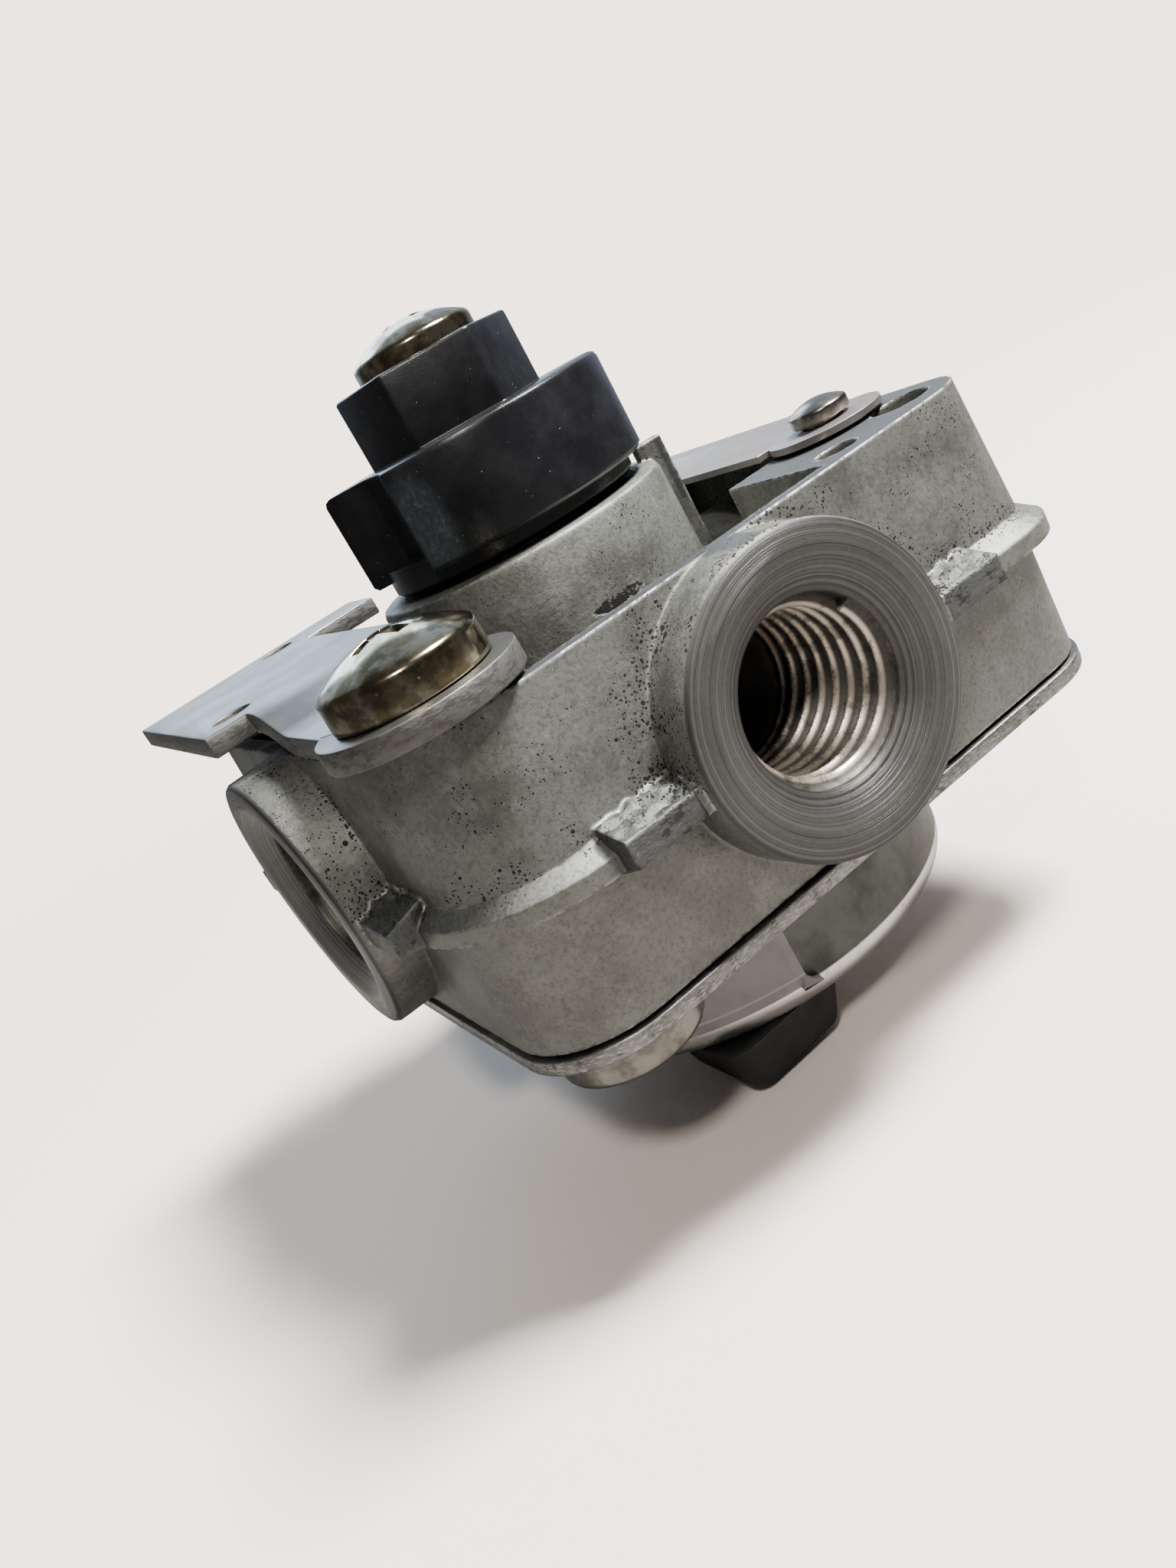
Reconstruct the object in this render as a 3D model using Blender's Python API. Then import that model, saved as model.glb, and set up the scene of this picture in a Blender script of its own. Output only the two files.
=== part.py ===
"""Motor-driven multi-way rotary valve.

Metres, +Z up along the plug's axis. The origin is where the port axes cross the plug's axis.
The front port looks along -Y, the left port along -X and the right port along +X.
"""
import math

import bmesh
import bpy
from mathutils import Matrix, Vector

for old in list(bpy.data.objects):
    bpy.data.objects.remove(old, do_unlink=True)

# Clearances
GAP = 0.0003            # between pieces that seat on each other
THREAD_GAP = 0.0003     # round a screw shank in its hole

# Casting
BODY_W = 0.0500         # square outline at the lower face
BODY_H = 0.0208
# Corner radii, in the order rear right, rear left, front left, front right
LOWER_CORNERS = (0.0070, 0.0070, 0.0070, 0.0056)
FLANGE_CORNERS = (0.0081, 0.0081, 0.0106, 0.0054)
UPPER_CORNERS = (0.0070, 0.0070, 0.0088, 0.0046)
DRAFT_TOP = 0.0007      # how far the walls lean in at the top
FLANGE_OUT = 0.0011     # parting flange beyond the walls
FLANGE_T = 0.0012
FLANGE_SLOPE = 0.0011   # height of its sloped upper side
RIM_WALL = 0.0013       # wall round the upper recess
RECESS_DEPTH = 0.0158
NECK_R = 0.01185
NECK_RISE = 0.0039      # neck above the housing's top
NECK_FOOT_R = 0.0121
LUG_W = 0.0013
LUG_OUT = 0.0012
LUG_RISE = 0.0012
LUG_ANGLE = -18.0       # degrees
POST_R = 0.0056
SCREW_IN = 0.0066       # cover screws' distance in from the housing's sides
PAD_X = 0.0145          # length of the solid land in the front right corner
PAD_Y = 0.0122

# Ports
PORT_REACH = 0.0284     # port face from the plug's axis
PORT_R = 0.01035
PORT_SINK_R = 0.0083
PORT_SINK_DEPTH = 0.0012
THREAD_R = 0.0060       # nominal M12 x 1.5
THREAD_CORE_R = 0.0052
THREAD_LENGTH = 0.0110
DUCT_R = 0.0029
DUCT_WALL_R = 0.0076    # outside of the ducts in the recess
TAB_LENGTH = 0.0067
TAB_OUT = 0.0028
TAB_TIP_T = 0.0017
TAB_ROOT_T = 0.0036
TAB_DROP = 0.0006       # the tabs' middle below the port axis

# Plug and stem
PLUG_R = 0.0087
PLUG_CLEAR = 0.0003
PLUG_DOWN = 0.0036      # plug's top below the housing's top
PLUG_TOP = BODY_H / 2 - PLUG_DOWN   # above the port axis
PLUG_END_CLEAR = 0.0007
PASSAGE_R = 0.0028
PASSAGE_SIDE_R = 0.0027  # the left passage is drilled a little smaller
ORING_R = 0.00072
ORING_GAP = 0.00027
ORING_LOWER = 0.0035    # centre of the lower O-ring above the plug's base
ORING_UPPER = 0.0018    # centre of the upper O-ring below the plug's top
ORING_UP = PLUG_TOP - ORING_UPPER                       # above the port axis
ORING_DOWN = BODY_H / 2 - PLUG_END_CLEAR - ORING_LOWER  # below it
STEM_R = 0.0037
STEM_HOLE_CLEAR = 0.0004
CEILING_T = 0.0022
SLOT_W = 0.0028
SLOT_L = 0.0066
SLOT_DEPTH = 0.0032

# Neck fittings
GLAND_BORE_R = 0.0094
GLAND_H = 0.0027
STEM_SEAL_R = 0.00070
WASHER_T = 0.0004
WASHER_R = 0.0066
CLIP_T = 0.00065
CLIP_R = 0.0060
CLIP_GROOVE = 0.0006

# Cam
CAM_R = 0.0114
CAM_CLEAR = 0.0015      # cam above the neck
CAM_H = 0.0075
HEX_AF = 0.0123
HEX_H = 0.0055
HEX_TURN = -21.7        # degrees
HEX_WEB = 0.0017
NOTCH_DEPTH = 0.0032
NOTCH_HALF = 22.0       # degrees
STEM_FLAT = 0.0028      # flat of the stem from the axis

# Screws
M5_R = 0.0023
M5_HEAD_R = 0.00475
M5_HEAD_H = 0.0037
CAM_SINK = 0.0012       # cam screw's head in the hexagon's top
M5_LENGTH = 0.0080
CROSS_W = 0.0012
CROSS_L = 0.0048
CROSS_DEPTH = 0.0016
M3_R = 0.0013
M3_HEAD_R = 0.0022
M3_HEAD_H = 0.0015
M3_LENGTH = 0.0050
FREE_HOLE_R = 0.0021
FREE_HOLE_DEPTH = 0.0080
FREE_HOLE_X = 0.0206
FREE_HOLE_Y = -0.0202
SMALL_HOLE_R = 0.0015
SMALL_HOLE_DEPTH = 0.0060
SMALL_HOLE_X = 0.0133
SMALL_HOLE_Y = -0.0212

# Switch bracket
SHEET_T = 0.0016
BRACKET_IN = 0.0057     # bracket screw's distance in from the sides
BRACKET_HEAD_R = 0.0052
LOBE_BULGE = 0.0012     # lobe beyond the bracket's straight left edge
NECK_LEFT = 0.0003      # bracket's left edge in from the housing's side
RAISE = 0.0017
RAMP_START = -0.0071
RAMP_END = -0.0024
PLATE_LEFT = -0.0280
PLATE_FRONT = -0.0005
PLATE_BACK = 0.0290
HUB_CLEAR = 0.0007
TOE_X = -0.0055
TOE_DEPTH = 0.0070
SWITCH_HOLE_R = 0.0015
SWITCH_HOLE_X = -0.0249
SWITCH_HOLE_Y = 0.0035
SWITCH_PITCH_X = 0.0103
SWITCH_PITCH_Y = 0.0222

# Side plate
SIDE_T = 0.0005
SIDE_SCREW_X = 0.0186
SIDE_SCREW_Y = -0.0146
SIDE_LOBE_R = 0.0043
SIDE_IN_X = 0.0141
SIDE_EDGE = 0.0006      # right edge in from the housing's side

# Cover
SEAL_IN_R = 0.0105
SEAL_W = 0.0017
SEAL_T = 0.0008
COVER_T = 0.0011
COVER_OVER = 0.0003
DRIVE_HOLE_R = 0.0054

# Motor
CAN_IN = 0.0062         # can's side in from the housing's sides
CAN_R = BODY_W / 2 - CAN_IN
CAN_H = 0.0103
CAN_WALL = 0.0006
CAN_EDGE_R = 0.0018
MOTOR_PLATE_T = 0.0010
SHAFT_R = 0.0029
TONGUE_W = 0.0022
TONGUE_L = 0.0054
TONGUE_H = 0.0028
OUT_RATIO = 3
IN_RATIO = 4
PINION_TEETH = 8
TIP_SHARE = 0.80        # tooth above the pitch circle, in modules
ROOT_SHARE = 1.15       # tooth below it
GEAR_SIDE = 0.000904    # between the idler's teeth and the can's wall
# Idler's axis from the plug's axis: its wheel reaches from there to the can's wall
WHEEL_REACH = 2 * (PINION_TEETH * IN_RATIO / 2 + TIP_SHARE) / (PINION_TEETH * (IN_RATIO + 1))
GEAR_AXIS = (CAN_R - CAN_WALL - GEAR_SIDE) / (1 + WHEEL_REACH)
GEAR_T = 0.0012
IDLER_T = 0.0010
PINION_WALL = 0.000374375   # idler's pinion between its teeth's roots and its bore
PINION_ROOT_R = 2 * GEAR_AXIS / (PINION_TEETH * (OUT_RATIO + 1)) * (PINION_TEETH / 2 - ROOT_SHARE)
POST_PIN_R = PINION_ROOT_R - PINION_WALL - GAP
POLE_T = 0.0005
ARBOR_R = 0.0010
MAGNET_R = 0.0065
BOBBIN_IN_R = 0.0070
BOBBIN_WALL = 0.0007
BLOCK_X = -0.0070
BLOCK_Y = -0.0107
BLOCK_W = 0.0112
BLOCK_L = 0.0112
BLOCK_H = 0.0049
BLOCK_TAPER = 0.0013
BLOCK_CORNER_R = 0.0018
BLADE_W = 0.0028
BLADE_T = 0.0005
BLADE_OUT = 0.0040
BLADE_IN = 0.0040
LABEL_T = 0.00015
LABEL_GAP = 0.00010
LABEL_START = 182.0     # degrees round the can
LABEL_END = 254.0
LABEL_MARGIN = 0.0009

# Levels that follow from the sizes above
Z_BASE = -BODY_H / 2
Z_TOP = BODY_H / 2
Z_NECK = Z_TOP + NECK_RISE
CHAMBER_R = PLUG_R + PLUG_CLEAR
Z_CEILING = PLUG_TOP + PLUG_CLEAR
Z_GLAND = Z_CEILING + CEILING_T
Z_PLUG_BASE = Z_BASE + PLUG_END_CLEAR
Z_GLAND_TOP = Z_GLAND + GAP + GLAND_H
Z_CLIP = Z_GLAND_TOP + WASHER_T + 2 * GAP + 0.00015
Z_CAM = Z_NECK + CAM_CLEAR
Z_CAM_TOP = Z_CAM + CAM_H
Z_HEX_TOP = Z_CAM_TOP + HEX_H
Z_STEM_TOP = Z_HEX_TOP - HEX_WEB - GAP
Z_BRACKET = Z_TOP + GAP
Z_BRACKET_TOP = Z_BRACKET + SHEET_T
Z_COVER = Z_BASE - GAP
Z_COVER_LOW = Z_COVER - COVER_T
Z_CAN = Z_COVER_LOW - GAP
Z_CAN_END = Z_CAN - CAN_H
Z_CAN_FLOOR = Z_CAN_END + CAN_WALL
SCREW_AT = BODY_W / 2 - SCREW_IN
BRACKET_AT = BODY_W / 2 - BRACKET_IN

# Materials: name, colour, roughness, metallic
FINISHES = {
    "cast_zinc": ((0.42, 0.41, 0.39), 0.55, 0.85),
    "plated_sheet": ((0.56, 0.56, 0.55), 0.40, 0.90),
    "bright_zinc": ((0.66, 0.67, 0.68), 0.25, 1.00),
    "yellow_zinc": ((0.62, 0.52, 0.33), 0.25, 1.00),
    "black_plastic": ((0.018, 0.018, 0.020), 0.45, 0.00),
    "brass": ((0.72, 0.55, 0.26), 0.30, 1.00),
    "steel": ((0.58, 0.58, 0.58), 0.35, 1.00),
    "rubber": ((0.03, 0.03, 0.03), 0.75, 0.00),
    "label": ((0.62, 0.60, 0.62), 0.50, 0.00),
    "nylon": ((0.82, 0.80, 0.74), 0.45, 0.00),
    "ferrite": ((0.09, 0.09, 0.10), 0.60, 0.20),
    "copper": ((0.70, 0.33, 0.18), 0.40, 0.90),
}


def finish(obj, kind):
    """Give the object a material of its own with the kind's values."""
    colour, rough, metal = FINISHES[kind]
    mat = bpy.data.materials.new(obj.name + "_mat")
    mat.use_nodes = True
    shader = mat.node_tree.nodes["Principled BSDF"]
    shader.inputs["Base Color"].default_value = (*colour, 1.0)
    shader.inputs["Roughness"].default_value = rough
    shader.inputs["Metallic"].default_value = metal
    obj.data.materials.clear()
    obj.data.materials.append(mat)


def to_object(name, bm, kind=None, at=(0, 0, 0)):
    """Turn a closed bmesh into an object; without a kind it is a tool for Booleans."""
    bmesh.ops.remove_doubles(bm, verts=bm.verts[:], dist=1e-7)
    bmesh.ops.recalc_face_normals(bm, faces=bm.faces[:])
    mesh = bpy.data.meshes.new(name)
    bm.to_mesh(mesh)
    bm.free()
    mesh.shade_smooth()
    mesh.set_sharp_from_angle(angle=math.radians(35))
    obj = bpy.data.objects.new(name, mesh)
    obj.location = at
    bpy.context.scene.collection.objects.link(obj)
    if kind:
        finish(obj, kind)
    else:
        obj.hide_render = True
        obj.display_type = "WIRE"
    return obj


def turned(name, profile, kind=None, at=(0, 0, 0), steps=28, look=None, phase=0.0):
    """Spin a closed (radius, height) profile round Z; look turns the axis to another direction."""
    bm = bmesh.new()
    verts = [bm.verts.new((r * math.cos(phase), r * math.sin(phase), z)) for r, z in profile]
    edges = []
    for i, v in enumerate(verts):
        w = verts[(i + 1) % len(verts)]
        if profile[i][0] > 1e-9 or profile[(i + 1) % len(profile)][0] > 1e-9:
            edges.append(bm.edges.new((v, w)))
    bmesh.ops.spin(bm, geom=verts + edges, cent=(0, 0, 0), axis=(0, 0, 1), angle=2 * math.pi,
                   steps=steps, use_merge=True)
    if look is not None:
        turn = Vector((0, 0, 1)).rotation_difference(Vector(look)).to_matrix().to_4x4()
        bmesh.ops.transform(bm, matrix=turn, verts=bm.verts[:])
    return to_object(name, bm, kind, at)


def prism(name, outline, z0, z1, kind=None, at=(0, 0, 0), matrix=None):
    """Extrude a closed outline of (x, y) points from z0 to z1."""
    bm = bmesh.new()
    face = bm.faces.new([bm.verts.new((x, y, z0)) for x, y in outline])
    grown = bmesh.ops.extrude_face_region(bm, geom=[face])
    top = [g for g in grown["geom"] if isinstance(g, bmesh.types.BMVert)]
    bmesh.ops.translate(bm, vec=(0, 0, z1 - z0), verts=top)
    if matrix is not None:
        bmesh.ops.transform(bm, matrix=matrix, verts=bm.verts[:])
    return to_object(name, bm, kind, at)


def loft(name, sections, kind=None, at=(0, 0, 0)):
    """Skin closed rings of equal length, given as (outline, z)."""
    bm = bmesh.new()
    rings = [[bm.verts.new((x, y, z)) for x, y in outline] for outline, z in sections]
    for low, high in zip(rings, rings[1:]):
        for i in range(len(low)):
            j = (i + 1) % len(low)
            bm.faces.new((low[i], low[j], high[j], high[i]))
    bm.faces.new(rings[0])
    bm.faces.new(rings[-1])
    return to_object(name, bm, kind, at)


def arc(cx, cy, r, a0, a1, n):
    """Points on an arc, angles in degrees."""
    return [(cx + r * math.cos(math.radians(a0 + (a1 - a0) * i / n)),
             cy + r * math.sin(math.radians(a0 + (a1 - a0) * i / n))) for i in range(n + 1)]


def round_square(half, radii, n=5, half_y=None):
    """Outline of a rectangle with rounded corners, from the rear right one round to the left."""
    hy = half if half_y is None else half_y
    pts = []
    for k, (sx, sy) in enumerate(((1, 1), (-1, 1), (-1, -1), (1, -1))):
        pts += arc(sx * (half - radii[k]), sy * (hy - radii[k]), radii[k], 90 * k, 90 * k + 90, n)
    return pts


def body_line(grow, corners):
    """Housing outline grown outwards by the given amount, the corner radii with it."""
    return round_square(BODY_W / 2 + grow, [r + grow for r in corners])


def box(name, x0, x1, y0, y1, z0, z1, kind=None):
    return prism(name, [(x0, y0), (x1, y0), (x1, y1), (x0, y1)], z0, z1, kind)


def rod(name, r, z0, z1, kind=None, at=(0, 0, 0), steps=16, look=None):
    return turned(name, [(0, z0), (r, z0), (r, z1), (0, z1)], kind, at, steps, look)


def combine(obj, tool, how="DIFFERENCE"):
    mod = obj.modifiers.new(tool.name, "BOOLEAN")
    mod.solver = "EXACT"
    mod.operation = how
    mod.object = tool
    return obj


def ring_profile(r0, r1, z0, z1):
    return [(r0, z0), (r1, z0), (r1, z1), (r0, z1)]


def torus_profile(r, minor, z, n=8):
    return [(r + minor * math.cos(2 * math.pi * i / n), z + minor * math.sin(2 * math.pi * i / n))
            for i in range(n)]


# Port directions and the half turn that brings -Y onto each
PORTS = {"front": -90.0, "left": 180.0, "right": 0.0}
CORNERS = [(-1, -1), (1, -1), (1, 1), (-1, 1)]


# Casting: outer skin lofted through the base, the parting flange and the drafted top
half = BODY_W / 2
flange_low = TAB_DROP + FLANGE_T
sections = [
    (body_line(0.0, LOWER_CORNERS), Z_BASE),
    (body_line(0.0, LOWER_CORNERS), -flange_low - 0.0003),
    (round_square(half + FLANGE_OUT, FLANGE_CORNERS), -flange_low),
    (round_square(half + FLANGE_OUT, FLANGE_CORNERS), -TAB_DROP),
    (body_line(-DRAFT_TOP * 0.2, UPPER_CORNERS), FLANGE_SLOPE - TAB_DROP),
    (body_line(-DRAFT_TOP, UPPER_CORNERS), Z_TOP),
]
body = loft("valve_body", sections, "cast_zinc")

# Upper recess between the rim, the neck's foot, the port ducts and the corner posts
recess = prism("recess_tool", body_line(-DRAFT_TOP - RIM_WALL, UPPER_CORNERS), Z_TOP - RECESS_DEPTH,
               Z_TOP + 0.004)
combine(recess, rod("keep_neck", NECK_FOOT_R, Z_BASE - 0.002, Z_TOP + 0.006, steps=40))
tomb = ([(-DUCT_WALL_R, Z_BASE - 0.002)] + arc(0, 0, DUCT_WALL_R, 180, 0, 12)
        + [(DUCT_WALL_R, Z_BASE - 0.002)])
stand = Matrix.Rotation(math.radians(90), 4, "X")
for side, angle in PORTS.items():
    # The outline stands up in XZ, runs along -Y and turns to its port
    turn = Matrix.Rotation(math.radians(angle + 90), 4, "Z") @ stand
    combine(recess, prism("keep_duct_" + side, tomb, 0.0, BODY_W, matrix=turn))
for k, (sx, sy) in enumerate(CORNERS, 1):
    combine(recess, rod("keep_post_%d" % k, POST_R, Z_BASE - 0.002, Z_TOP + 0.006,
                        at=(sx * SCREW_AT, sy * SCREW_AT, 0), steps=20))
combine(recess, box("keep_pad", half - PAD_X, half + 0.005, -half - 0.005, -half + PAD_Y + 0.0006,
                    Z_BASE - 0.002, Z_TOP + 0.006))
combine(body, recess)

# Neck, stop lug and port bosses
combine(body, rod("neck_add", NECK_R, Z_TOP - 0.003, Z_NECK, steps=40), "UNION")
lug = prism("lug_add", [(NECK_R - 0.001, -LUG_W / 2), (NECK_R + LUG_OUT, -LUG_W / 2),
                        (NECK_R + LUG_OUT, LUG_W / 2), (NECK_R - 0.001, LUG_W / 2)],
            Z_TOP - 0.006, Z_NECK + LUG_RISE,
            matrix=Matrix.Rotation(math.radians(LUG_ANGLE), 4, "Z"))
combine(body, lug, "UNION")
for side, angle in PORTS.items():
    look = (math.cos(math.radians(angle)), math.sin(math.radians(angle)), 0)
    combine(body, rod("boss_add_" + side, PORT_R, half - DRAFT_TOP - RIM_WALL * 0.4, PORT_REACH,
                      steps=40, look=look), "UNION")

# Gate tabs on the parting line, one on each side of every port
for side, angle in PORTS.items():
    for hand in (-1, 1):
        a0 = hand * (PORT_R - 0.0008)
        a1 = hand * (PORT_R - 0.0008 + TAB_LENGTH)
        lo, hi = min(a0, a1), max(a0, a1)
        root = half - 0.0009
        tip = half + TAB_OUT
        wedge = [(root, -TAB_DROP - TAB_ROOT_T / 2), (tip, -TAB_DROP - TAB_TIP_T / 2),
                 (tip, -TAB_DROP + TAB_TIP_T / 2), (root, -TAB_DROP + TAB_ROOT_T / 2)]
        turn = Matrix.Rotation(math.radians(angle), 4, "Z") @ Matrix.Rotation(math.radians(90), 4, "X")
        combine(body, prism("tab_add_%s_%d" % (side, hand + 2), wedge, lo, hi, matrix=turn), "UNION")

# Plug chamber, stem hole and gland bore in one turned tool
combine(body, turned("chamber_tool", [
    (0, Z_BASE - 0.001), (CHAMBER_R, Z_BASE - 0.001), (CHAMBER_R, Z_CEILING),
    (STEM_R + STEM_HOLE_CLEAR, Z_CEILING), (STEM_R + STEM_HOLE_CLEAR, Z_GLAND),
    (GLAND_BORE_R, Z_GLAND), (GLAND_BORE_R, Z_NECK + 0.001), (0, Z_NECK + 0.001)], steps=32))

# Port threads' core holes with their countersinks and ducts
for side, angle in PORTS.items():
    look = (math.cos(math.radians(angle)), math.sin(math.radians(angle)), 0)
    mouth = PORT_REACH - PORT_SINK_DEPTH
    end = PORT_REACH - THREAD_LENGTH
    lead = (PORT_SINK_R - THREAD_R) / PORT_SINK_DEPTH
    combine(body, turned("bore_tool_" + side, [
        (0, CHAMBER_R * 0.5), (DUCT_R, CHAMBER_R * 0.5), (DUCT_R, end - 0.0008),
        (THREAD_CORE_R, end), (THREAD_CORE_R, mouth - 0.0008), (THREAD_R, mouth),
        (PORT_SINK_R + lead * 0.001, PORT_REACH + 0.001), (0, PORT_REACH + 0.001)],
        steps=24, look=look))

# Seal groove and screw holes
combine(body, turned("groove_tool", ring_profile(
    SEAL_IN_R - GAP, SEAL_IN_R + SEAL_W + GAP, Z_BASE - 0.001, Z_BASE + SEAL_T + GAP), steps=28))
COVER_SCREWS = {"front": (-SCREW_AT, -SCREW_AT), "rear": (SCREW_AT, SCREW_AT)}
for where, (x, y) in COVER_SCREWS.items():
    combine(body, rod("cover_hole_" + where, M5_R + THREAD_GAP, Z_BASE - 0.001,
                      Z_BASE + M5_LENGTH + GAP, at=(x, y, 0)))
combine(body, rod("bracket_hole", M5_R + THREAD_GAP, Z_TOP - M5_LENGTH - GAP, Z_TOP + 0.001,
                  at=(-BRACKET_AT, -BRACKET_AT, 0)))
combine(body, rod("free_hole", FREE_HOLE_R, Z_TOP - FREE_HOLE_DEPTH, Z_TOP + 0.001,
                  at=(FREE_HOLE_X, FREE_HOLE_Y, 0)))
combine(body, rod("small_hole", SMALL_HOLE_R, Z_TOP - SMALL_HOLE_DEPTH, Z_TOP + 0.001,
                  at=(SMALL_HOLE_X, SMALL_HOLE_Y, 0), steps=20))
SIDE_SCREWS = {"front": (SIDE_SCREW_X, SIDE_SCREW_Y), "rear": (SCREW_AT, SCREW_AT)}
for where, (x, y) in SIDE_SCREWS.items():
    combine(body, rod("side_hole_" + where, M3_R + THREAD_GAP, Z_TOP - M3_LENGTH - GAP, Z_TOP + 0.001,
                      at=(x, y, 0), steps=20))

# Plug with its stem, O-ring grooves, snap ring groove and drive slot
groove_half = ORING_R + ORING_GAP
groove_r = PLUG_R - 2 * ORING_R - ORING_GAP
plug = turned("rotor_plug", [
    (0, Z_PLUG_BASE), (PLUG_R, Z_PLUG_BASE),
    (PLUG_R, -ORING_DOWN - groove_half), (groove_r, -ORING_DOWN - groove_half),
    (groove_r, -ORING_DOWN + groove_half), (PLUG_R, -ORING_DOWN + groove_half),
    (PLUG_R, ORING_UP - groove_half), (groove_r, ORING_UP - groove_half),
    (groove_r, ORING_UP + groove_half), (PLUG_R, ORING_UP + groove_half),
    (PLUG_R, PLUG_TOP), (STEM_R, PLUG_TOP),
    (STEM_R, Z_CLIP - GAP), (STEM_R - CLIP_GROOVE, Z_CLIP - GAP),
    (STEM_R - CLIP_GROOVE, Z_CLIP + CLIP_T + GAP), (STEM_R, Z_CLIP + CLIP_T + GAP),
    (STEM_R, Z_STEM_TOP), (0, Z_STEM_TOP)], "brass", steps=32)
combine(plug, rod("passage_front", PASSAGE_R, -PASSAGE_R * 0.8, PLUG_R + 0.002, steps=20, look=(0, -1, 0)))
combine(plug, rod("passage_left", PASSAGE_SIDE_R, -PASSAGE_R * 0.6, PLUG_R + 0.002, steps=18, look=(-1, 0, 0)))
combine(plug, box("drive_slot", -SLOT_L / 2, SLOT_L / 2, -SLOT_W / 2, SLOT_W / 2,
                  Z_PLUG_BASE - 0.001, Z_PLUG_BASE + SLOT_DEPTH))
combine(plug, box("stem_flat", STEM_FLAT, STEM_R + 0.001, -STEM_R - 0.001, STEM_R + 0.001,
                  Z_CAM - GAP, Z_STEM_TOP + 0.001))
combine(plug, rod("stem_tap", M5_R + THREAD_GAP, Z_STEM_TOP - M5_LENGTH, Z_STEM_TOP + 0.001))
for where, z in (("lower", -ORING_DOWN), ("upper", ORING_UP)):
    turned("plug_oring_" + where, torus_profile(PLUG_R - ORING_R + ORING_GAP * 0.1, ORING_R, z),
           "rubber", steps=24)

# Gland in the neck: stem seal under a bush, washer and snap ring
seal_r = STEM_R + GAP + STEM_SEAL_R
turned("stem_seal", torus_profile(seal_r, STEM_SEAL_R, Z_GLAND + GAP + STEM_SEAL_R),
       "rubber", steps=20)
pocket_r = seal_r + STEM_SEAL_R + GAP
pocket_z = Z_GLAND + 2 * GAP + 2 * STEM_SEAL_R
turned("gland_bush", [
    (pocket_r, Z_GLAND + GAP), (GLAND_BORE_R - GAP, Z_GLAND + GAP), (GLAND_BORE_R - GAP, Z_GLAND_TOP),
    (STEM_R + GAP, Z_GLAND_TOP), (STEM_R + GAP, pocket_z), (pocket_r, pocket_z)], "brass", steps=24)
turned("thrust_washer", ring_profile(STEM_R + GAP, WASHER_R, Z_GLAND_TOP + GAP,
                                     Z_GLAND_TOP + GAP + WASHER_T), "steel", steps=24)
clip_in = STEM_R - CLIP_GROOVE + GAP
clip = arc(0, 0, CLIP_R, 25, 335, 20) + arc(0, 0, clip_in, 335, 25, 20)
prism("retaining_ring", clip, Z_CLIP, Z_CLIP + CLIP_T, "steel")

# Cam and hexagon in one moulding; the switch roller drops into the notch
notch = math.radians(NOTCH_HALF)
cam_line = arc(0, 0, CAM_R, -180 + NOTCH_HALF, 180 - NOTCH_HALF, 36)
cam_line += arc(-CAM_R + NOTCH_DEPTH + 0.0008, 0, 0.0008, 150, 210, 4)
cam = prism("cam_hub", cam_line, Z_CAM, Z_CAM_TOP, "black_plastic")
hexagon = arc(0, 0, HEX_AF / math.sqrt(3), HEX_TURN, HEX_TURN + 300, 5)
combine(cam, prism("hex_add", hexagon, Z_CAM_TOP - 0.002, Z_HEX_TOP), "UNION")
bore_r = STEM_R + GAP
flat_at = STEM_FLAT + GAP
flat_a = math.degrees(math.acos(flat_at / bore_r))
combine(cam, prism("cam_bore", arc(0, 0, bore_r, flat_a, 360 - flat_a, 20), Z_CAM - 0.001,
                   Z_HEX_TOP - HEX_WEB))
combine(cam, rod("cam_screw_hole", M5_R + 2 * THREAD_GAP, Z_CAM, Z_HEX_TOP + 0.001))
combine(cam, rod("cam_screw_sink", M5_HEAD_R + GAP, Z_HEX_TOP - CAM_SINK, Z_HEX_TOP + 0.001, steps=20))


def pan_screw(name, x, y, seat, shank, head_r, head_h, length, kind, up=1, cross=True):
    """Pan head screw seated at the height seat, its shank running down (up=1) or up (up=-1)."""
    side = head_h * 0.42
    dome = head_h - side
    crown = [(head_r * math.cos(a), side + dome * math.sin(a))
             for a in (math.radians(90 * i / 3) for i in range(4))]
    profile = [(0, -length), (shank * 0.8, -length), (shank, -length + shank * 0.3), (shank, 0),
               (head_r * 0.97, 0), (head_r, side * 0.2)] + crown[:-1] + [(0, head_h)]
    profile = [(r, seat + up * z) for r, z in profile]
    screw = turned(name, profile, kind, at=(x, y, 0), steps=20)
    if cross:
        z0, z1 = sorted((seat + up * (head_h - CROSS_DEPTH), seat + up * (head_h + 0.001)))
        for tag, w, l in (("a", CROSS_W, CROSS_L), ("b", CROSS_L, CROSS_W)):
            arm = round_square(w / 2, [min(w, l) * 0.2] * 4, 2, half_y=l / 2)
            tool = prism("%s_cross_%s" % (name, tag), arm, z0, z1, at=(x, y, 0))
            combine(screw, tool)
    return screw


pan_screw("cam_screw", 0, 0, Z_HEX_TOP - CAM_SINK + GAP, M5_R, M5_HEAD_R, M5_HEAD_H, M5_LENGTH,
          "yellow_zinc")

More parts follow.
